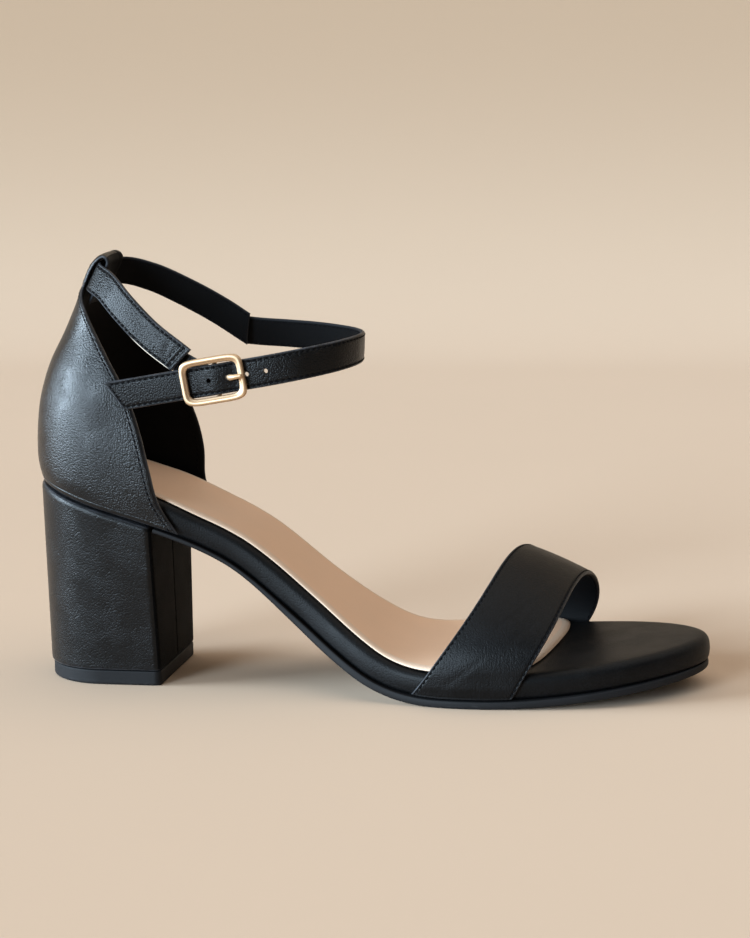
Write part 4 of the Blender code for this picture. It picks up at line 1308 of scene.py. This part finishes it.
def looking(name, data, turn, rise, distance, target=(0.0, 0.0, 0.0), roll=0.0):
    """Light or camera at a distance from a target, its view turned about its own line by the roll.

    It stands at a turn about Z, counted from +X, and a rise above the target.
    """
    turn, rise, roll = np.radians((turn, rise, roll))
    back = np.array((np.cos(rise) * np.cos(turn), np.cos(rise) * np.sin(turn), np.sin(rise)))
    right = np.array((-np.sin(turn), np.cos(turn), 0.0))
    right = np.cos(roll) * right + np.sin(roll) * np.cross(back, right)
    axes = Matrix(np.column_stack([right, np.cross(back, right), back]).tolist())
    made = bpy.data.objects.new(name, data)
    made.matrix_world = Matrix.Translation(np.array(target) + distance * back) @ axes.to_4x4()
    bpy.context.scene.collection.objects.link(made)
    return made


def soft_light(name, power, turn, rise, spread, colour):
    """Even light of a wide spread from a turn about Z, counted from +X, and a rise above the floor."""
    data = bpy.data.lights.new(name, "SUN")
    data.angle = math.radians(spread)
    data.energy = power
    data.color = colour
    looking(name, data, turn, rise, LIGHT_DISTANCE)


class LeatherLook(bpy.types.PropertyGroup):
    """Colour, grain and edges of the black leather"""

    colour: FloatVectorProperty(
        name="Leather", description="Colour of the black leather", subtype="COLOR", size=3, min=0, max=1,
        default=SLOT_COLOURS["black_leather"])
    pebble: FloatProperty(
        name="Pebble size", description="Size of one pebble of the grain", unit="LENGTH", precision=5,
        min=0.0003, max=0.003, default=0.56 * MM)
    depth: FloatProperty(
        name="Grain depth", description="Height of the grain", unit="LENGTH", precision=5,
        min=0.0, max=0.001, default=0.1 * MM)
    roll: FloatProperty(
        name="Edge roll", description="Distance over which a folded edge rolls over", unit="LENGTH",
        precision=5, min=0.0003, max=0.003, default=0.65 * MM)
    cut: FloatVectorProperty(
        name="Raw edge", description="Colour of the back strap's raw edge", subtype="COLOR", size=3,
        min=0, max=1, default=(0.72, 0.62, 0.5))


class StitchSizes(bpy.types.PropertyGroup):
    """Thread and pitch of the stitching"""

    pitch: FloatProperty(
        name="Pitch", description="Distance from one needle hole to the next", unit="LENGTH", precision=5,
        min=0.001, max=0.01, default=2.0 * MM)
    length: FloatProperty(
        name="Stitch", description="Length of one stitch", unit="LENGTH", precision=5,
        min=0.0005, max=0.01, default=1.7 * MM)
    thread: FloatProperty(
        name="Thread", description="Radius of the thread", unit="LENGTH", precision=5,
        min=0.0001, max=0.001, default=0.22 * MM)
    colour: FloatVectorProperty(
        name="Thread colour", description="Colour of the thread", subtype="COLOR", size=3, min=0, max=1,
        default=(0.004, 0.004, 0.005))


class SoleLook(bpy.types.PropertyGroup):
    """Colours of the sock, the rubber and the cut edge"""

    sock: FloatVectorProperty(
        name="Sock", description="Colour of the sock", subtype="COLOR", size=3, min=0, max=1,
        default=(0.74, 0.5, 0.345))
    cut: FloatVectorProperty(
        name="Cut edge", description="Colour of the sock's cut edge", subtype="COLOR", size=3, min=0, max=1,
        default=(0.66, 0.5, 0.38))
    rubber: FloatVectorProperty(
        name="Rubber", description="Colour of the outsole and top piece", subtype="COLOR", size=3,
        min=0, max=1, default=SLOT_COLOURS["black_rubber"])


class BuckleLook(bpy.types.PropertyGroup):
    """Metal and sizes of the buckle"""

    metal: FloatVectorProperty(
        name="Metal", description="Colour of the plating", subtype="COLOR", size=3, min=0, max=1,
        default=(0.62, 0.44, 0.28))
    dull: FloatProperty(
        name="Satin", description="Roughness of the plating", subtype="FACTOR", min=0, max=1, default=0.44)
    wide: FloatProperty(
        name="Bar width", description="Half width of the frame's bar", unit="LENGTH", precision=5,
        min=0.0005, max=0.003, default=1.15 * MM)
    hole: FloatProperty(
        name="Hole radius", description="Radius of the strap's holes", unit="LENGTH", precision=5,
        min=0.0003, max=0.003, default=0.78 * MM)


class StageLook(bpy.types.PropertyGroup):
    """Floor colour and light strengths"""

    floor: FloatVectorProperty(
        name="Floor", description="Colour of the floor", subtype="COLOR", size=3, min=0, max=1,
        default=(0.583, 0.447, 0.337))
    wall: FloatVectorProperty(
        name="Sweep", description="Colour of the sweep behind the shoe", subtype="COLOR", size=3,
        min=0, max=1, default=(0.35, 0.245, 0.165))
    key: FloatProperty(
        name="Overhead light", description="Strength of the overhead light", min=0, max=50, default=1.85)
    front: FloatProperty(
        name="Front light", description="Strength of the light at the front left", min=0, max=50, default=4.2)
    side: FloatProperty(
        name="Window light", description="Strength of the cool light at the left", min=0, max=50, default=7.8)
    fill: FloatProperty(
        name="Surround", description="Strength of the surrounding light", min=0, max=10, default=0.06)


class SandalSettings(bpy.types.PropertyGroup):
    """All sizes and colours of the sandal"""

    leather: PointerProperty(type=LeatherLook)
    stitch: PointerProperty(type=StitchSizes)
    sole: PointerProperty(type=SoleLook)
    buckle: PointerProperty(type=BuckleLook)
    stage: PointerProperty(type=StageLook)


def lining(settings):
    """Finish of the inner faces of the uppers and straps."""
    return lining_leather("dark_lining", settings.leather.colour)


def thread(settings):
    """Finish of every stitch."""
    return waxed_thread("black_thread", settings.stitch.colour)


def strap_leather(settings, name="strap_leather", raw=None):
    """Finish of the ankle straps and the buckle's loop."""
    look = settings.leather
    return grained_leather(name, look.colour, look.pebble / MM * 0.95, look.depth / MM * 0.75, dull=0.33,
                           gloss=0.18, seam=ROLL[EDGE_STITCH], raw=raw)


def add_stitching(name, rows, settings):
    """Piece of thread: a stack of stitches along each row."""
    sheets = [stitch_sheet(line, normal, settings.stitch) for line, normal in rows]
    add_piece(name, sheets, [thread(settings)], "black_leather")


class SANDAL_OT_footbed(bpy.types.Operator):
    """Leather-covered footbed with a rounded edge"""

    bl_idname = "sandal.footbed"
    bl_label = "Footbed"

    def execute(self, context):
        look = context.scene.sandal.leather
        stations = rounded_stations(FOOTBED_REAR, SHOE_LENGTH, 170)
        back = np.clip((HEEL_SHOULDER - stations) / (HEEL_SHOULDER - FOOTBED_REAR), 0, 1)
        widths = half_widths(stations) + SEAT_FLARE * (1 - ease(*FLARE_FADE, stations))[:, None]
        widths = widths * np.sqrt(1 - back ** 2)[:, None]
        ring = two_sided(stations, *widths.T)
        section = fine_edge(FOOTBED_EDGE, 24)
        sheet = slab(ring, spine(stations), section, seat_points)
        # The rim is raised by a millimetre, so that the paler edge tint of wear and painted highlight stays
        # off the wall
        sheet = sheet._replace(rim=sheet.rim + 1)
        finish = grained_leather("footbed_leather", look.colour, 0.55, 0.03, dull=0.48, gloss=0.15)
        add_piece("footbed_cover", [sheet], [finish], "black_leather", "footbed")
        return {"FINISHED"}


class SANDAL_OT_sock(bpy.types.Operator):
    """Tan sock on the footbed with its pale cut edge"""

    bl_idname = "sandal.sock"
    bl_label = "Sock"

    def execute(self, context):
        look = context.scene.sandal.sole
        stations = rounded_stations(FOOTBED_REAR + SOCK_INSET, SOCK_FRONT, 150)
        back = np.clip((HEEL_SHOULDER - stations) / (HEEL_SHOULDER - FOOTBED_REAR - SOCK_INSET), 0, 1)
        front = np.clip((stations - SOCK_FRONT + SOCK_NOSE) / SOCK_NOSE, 0, 1)
        ends = np.sqrt(1 - back ** 2) * (1 - front ** SOCK_NOSE_POWER) ** SOCK_NOSE_ROUND
        widths = (half_widths(stations) - SOCK_INSET) * ends[:, None]
        ring = two_sided(stations, *widths.T)
        ring[:, 0] += SOCK_SKEW * ring[:, 1] * np.clip((ring[:, 0] - SKEW_START) / SKEW_RUN, 0, 1)
        sheet = slab(ring, spine(stations), fine_edge(SOCK_EDGE, 12), seat_points)
        finish = sock_leather("sock_leather", look.sock, look.cut)
        add_piece("sock", [sheet], [finish], "tan_leather", "insole_sock", sharp=60)
        return {"FINISHED"}


class SANDAL_OT_outsole(bpy.types.Operator):
    """Thin rubber outsole from the heel's breast to the toe"""

    bl_idname = "sandal.outsole"
    bl_label = "Outsole"

    def execute(self, context):
        share = np.arange(150) / 149.5
        stations = OUTSOLE_REAR + (OUTSOLE_FRONT - OUTSOLE_REAR) * np.sin(share * np.pi / 2)
        toe = np.clip((stations - TOE_SHOULDER) / (OUTSOLE_FRONT - TOE_SHOULDER), 0, 1)
        widths = half_widths(stations + (SHOE_LENGTH - OUTSOLE_FRONT) * toe ** 2) * OUTSOLE_SPREAD
        ring = two_sided(stations, *widths.T)

        def carry(plan, share_down):
            full = ease(OUTSOLE_WAIST, OUTSOLE_FULL, plan[..., 0])
            thickness = blend(OUTSOLE_THIN, OUTSOLE_THICKNESS, full)
            return sole_points(plan, FOOTBED_THICKNESS + GAP + share_down * thickness)

        sheet = slab(ring, spine(stations), fine_edge(OUTSOLE_EDGE, 14), carry)
        finish = moulded_rubber("matt_rubber", context.scene.sandal.sole.rubber)
        add_piece("outsole_rubber", [sheet], [finish], "black_rubber", "outsole", sharp=60)
        return {"FINISHED"}


class SANDAL_OT_heel(bpy.types.Operator):
    """Covered block heel with its breast seam, and the rubber top piece"""

    bl_idname = "sandal.heel"
    bl_label = "Heel"

    def execute(self, context):
        look = context.scene.sandal.leather
        pebble, depth = look.pebble / MM, look.depth / MM
        cover = grained_leather("heel_leather", look.colour, pebble * 0.85, depth * 0.5, dull=0.36,
                                gloss=0.21, draw=(0.6, 1.0, 1.0), turn=(0.0, math.radians(40), 0.0))
        # Painted shade: the breast gets a dull copy of the heel leather with almost no gloss, so that it
        # stays dark as if in shade
        breast = grained_leather("breast_leather", look.colour, pebble, depth * 0.6, dull=0.75, gloss=0.06)
        add_piece("heel_cover", heel_sheets(), [cover, breast], "black_leather", "heel_block")
        finish = moulded_rubber("matt_rubber", context.scene.sandal.sole.rubber)
        add_piece("heel_top_piece", [top_piece_sheet()], [finish], "black_rubber", "heel_lift", sharp=50)
        return {"FINISHED"}


class SANDAL_OT_counter(bpy.types.Operator):
    """Closed back with its bound edges and the tab folded over the ankle strap"""

    bl_idname = "sandal.counter"
    bl_label = "Closed back"

    def execute(self, context):
        settings = context.scene.sandal
        look = settings.leather
        sheets, lines = counter_sheets(settings.stitch)
        finish = grained_leather("counter_leather", look.colour, look.pebble / MM, look.depth / MM * 0.64,
                                 dull=0.3, gloss=0.28, seam=ROLL[BOUND_STITCH])
        add_piece("counter_leather", sheets, [finish, lining(settings)], "black_leather", "counter")
        add_stitching("counter_stitching", lines, settings)
        return {"FINISHED"}


class SANDAL_OT_vamp(bpy.types.Operator):
    """Wide vamp strap with its stitched edges"""

    bl_idname = "sandal.vamp"
    bl_label = "Vamp strap"

    def execute(self, context):
        settings = context.scene.sandal
        look = settings.leather
        sheets, lines = vamp_sheets(settings)
        finish = grained_leather("vamp_leather", look.colour, 0.5, look.depth / MM * 0.42, dull=0.45,
                                 gloss=0.15, wrinkle=1.3, wrinkle_draw=(0.75, 0.5, 0.11),
                                 wrinkle_turn=(0.0, math.radians(-14), 0.0), seam=ROLL[EDGE_STITCH])
        add_piece("vamp_leather", sheets, [finish, lining(settings)], "black_leather", "vamp_strap")
        add_stitching("vamp_stitching", lines, settings)
        return {"FINISHED"}


class SANDAL_OT_ankle_straps(bpy.types.Operator):
    """Back strap through the tab, and the holed front strap with its slanted tip"""

    bl_idname = "sandal.ankle_straps"
    bl_label = "Ankle straps"

    def execute(self, context):
        settings = context.scene.sandal
        sewn = slice(EDGE_STITCH, -EDGE_STITCH)
        finish = strap_leather(settings, "back_strap_leather", shade(settings.leather.cut, 1.0))
        sheets, outer, inner, normal = strap_sheets(
            BACK_STRAP_ROUTE, BACK_STRAP_WIDTH,
            lambda across: OUTER_END_SLANT * (BACK_STRAP_WIDTH / 2 - across) - OUTER_END_LAP,
            lambda across: -INNER_END_SLANT * across, BACK_CREASES, settings)
        add_piece("back_strap_leather", sheets, [finish, lining(settings)], "black_leather", "back_strap")
        lines = edge_lines(outer, inner, normal, EDGE_STITCH, sewn, sewn)
        lines += [(outer[row, sewn], normal[row, sewn]) for row in (*END_STITCHES, -1 - EDGE_STITCH)]

        finishes = [strap_leather(settings), lining(settings)]
        sheets, outer, inner, normal = strap_sheets(
            front_route(), FRONT_STRAP_WIDTH, lambda across: INNER_END_START - INNER_END_SLANT * across,
            lambda across: TIP_SLANT * across / (FRONT_STRAP_WIDTH / 2), FRONT_CREASES, settings)
        made = add_piece("front_strap_leather", sheets, finishes, "black_leather", "front_strap")
        punch(made, settings.buckle.hole / MM)
        lines += edge_lines(outer, inner, normal, EDGE_STITCH, sewn, sewn)
        for row in (EDGE_STITCH, -1 - EDGE_STITCH):
            lines.append((outer[row, sewn], normal[row, sewn]))
            lines.append((inner[row, sewn], -normal[row, sewn]))
        add_stitching("strap_stitching", lines, settings)
        return {"FINISHED"}


class SANDAL_OT_buckle(bpy.types.Operator):
    """Pale gold frame, bar and prong, and the leather loop that carries them"""

    bl_idname = "sandal.buckle"
    bl_label = "Buckle"

    def execute(self, context):
        settings = context.scene.sandal
        look = settings.buckle
        metal = satin_metal("pale_gold_plating", look.metal, look.dull)
        add_piece("gold_frame", [frame_sheet(look.wide / MM)], [metal], "pale_gold", "buckle_frame")
        add_piece("gold_bar", [bar_sheet()], [metal], "pale_gold", "buckle_bar")
        add_piece("gold_prong", [prong_sheet()], [metal], "pale_gold", "buckle_prong")
        finishes = [strap_leather(settings), lining(settings)]
        add_piece("holder_leather", holder_sheets(), finishes, "black_leather", "buckle_holder")
        return {"FINISHED"}


class SANDAL_OT_stage(bpy.types.Operator):
    """Pale floor that sweeps up behind, soft lights and the camera"""

    bl_idname = "sandal.stage"
    bl_label = "Stage"

    def execute(self, context):
        scene = context.scene
        look = scene.sandal.stage
        grid = floor_grid()
        mesh = bpy.data.meshes.new("floor")
        mesh.from_pydata(grid.reshape(-1, 3).tolist(), [], grid_faces(*grid.shape[:2], False).tolist())
        mesh.shade_smooth()
        mesh.materials.append(pale_sweep("pale_floor", look.floor, look.wall))
        floor = bpy.data.objects.new("floor", mesh)
        scene.collection.objects.link(floor)

        world = bpy.data.worlds.new("soft_surround")
        world.use_nodes = True
        background = world.node_tree.nodes["Background"]
        background.inputs["Color"].default_value = SURROUND
        background.inputs["Strength"].default_value = look.fill
        scene.world = world
        soft_light("overhead_light", look.key, *OVERHEAD_LIGHT)
        soft_light("window_light", look.side, *WINDOW_LIGHT)
        soft_light("front_light", look.front, *FRONT_LIGHT)
        scene.view_settings.view_transform = "Standard"
        scene.view_settings.look = "None"

        data = bpy.data.cameras.new("camera")
        data.sensor_width = SENSOR
        data.lens = FOCAL_LENGTH * SENSOR / PICTURE_HEIGHT
        data.clip_start = 0.01
        data.clip_end = 50.0
        target = (CAMERA_TARGET + SHIFT) * MM
        scene.camera = looking("camera", data, CAMERA_TURN, CAMERA_RISE, CAMERA_DISTANCE * MM, target,
                               CAMERA_ROLL)
        return {"FINISHED"}


OPERATORS = (
    SANDAL_OT_footbed, SANDAL_OT_sock, SANDAL_OT_outsole, SANDAL_OT_heel, SANDAL_OT_counter, SANDAL_OT_vamp,
    SANDAL_OT_ankle_straps, SANDAL_OT_buckle, SANDAL_OT_stage,
)


class SANDAL_PT_sidebar(bpy.types.Panel):
    """Sizes, colours and pieces of the sandal"""

    bl_idname = "SANDAL_PT_sidebar"
    bl_label = "Block heel sandal"
    bl_space_type = "VIEW_3D"
    bl_region_type = "UI"
    bl_category = "Sandal"

    def draw(self, context):
        settings = context.scene.sandal
        for group in (settings.leather, settings.stitch, settings.sole, settings.buckle, settings.stage):
            box = self.layout.box()
            for name in group.__annotations__:
                box.prop(group, name)
        for operator in OPERATORS:
            self.layout.operator(operator.bl_idname)


CLASSES = (LeatherLook, StitchSizes, SoleLook, BuckleLook, StageLook, SandalSettings, *OPERATORS,
           SANDAL_PT_sidebar)


def register():
    for one in CLASSES:
        bpy.utils.register_class(one)
    bpy.types.Scene.sandal = PointerProperty(type=SandalSettings)


def unregister():
    del bpy.types.Scene.sandal
    for one in reversed(CLASSES):
        bpy.utils.unregister_class(one)


def main():
    register()
    bpy.ops.sandal.footbed()
    bpy.ops.sandal.sock()
    bpy.ops.sandal.outsole()
    bpy.ops.sandal.heel()
    bpy.ops.sandal.counter()
    bpy.ops.sandal.vamp()
    bpy.ops.sandal.ankle_straps()
    bpy.ops.sandal.buckle()
    bpy.ops.sandal.stage()


if __name__ == "__main__":
    main()
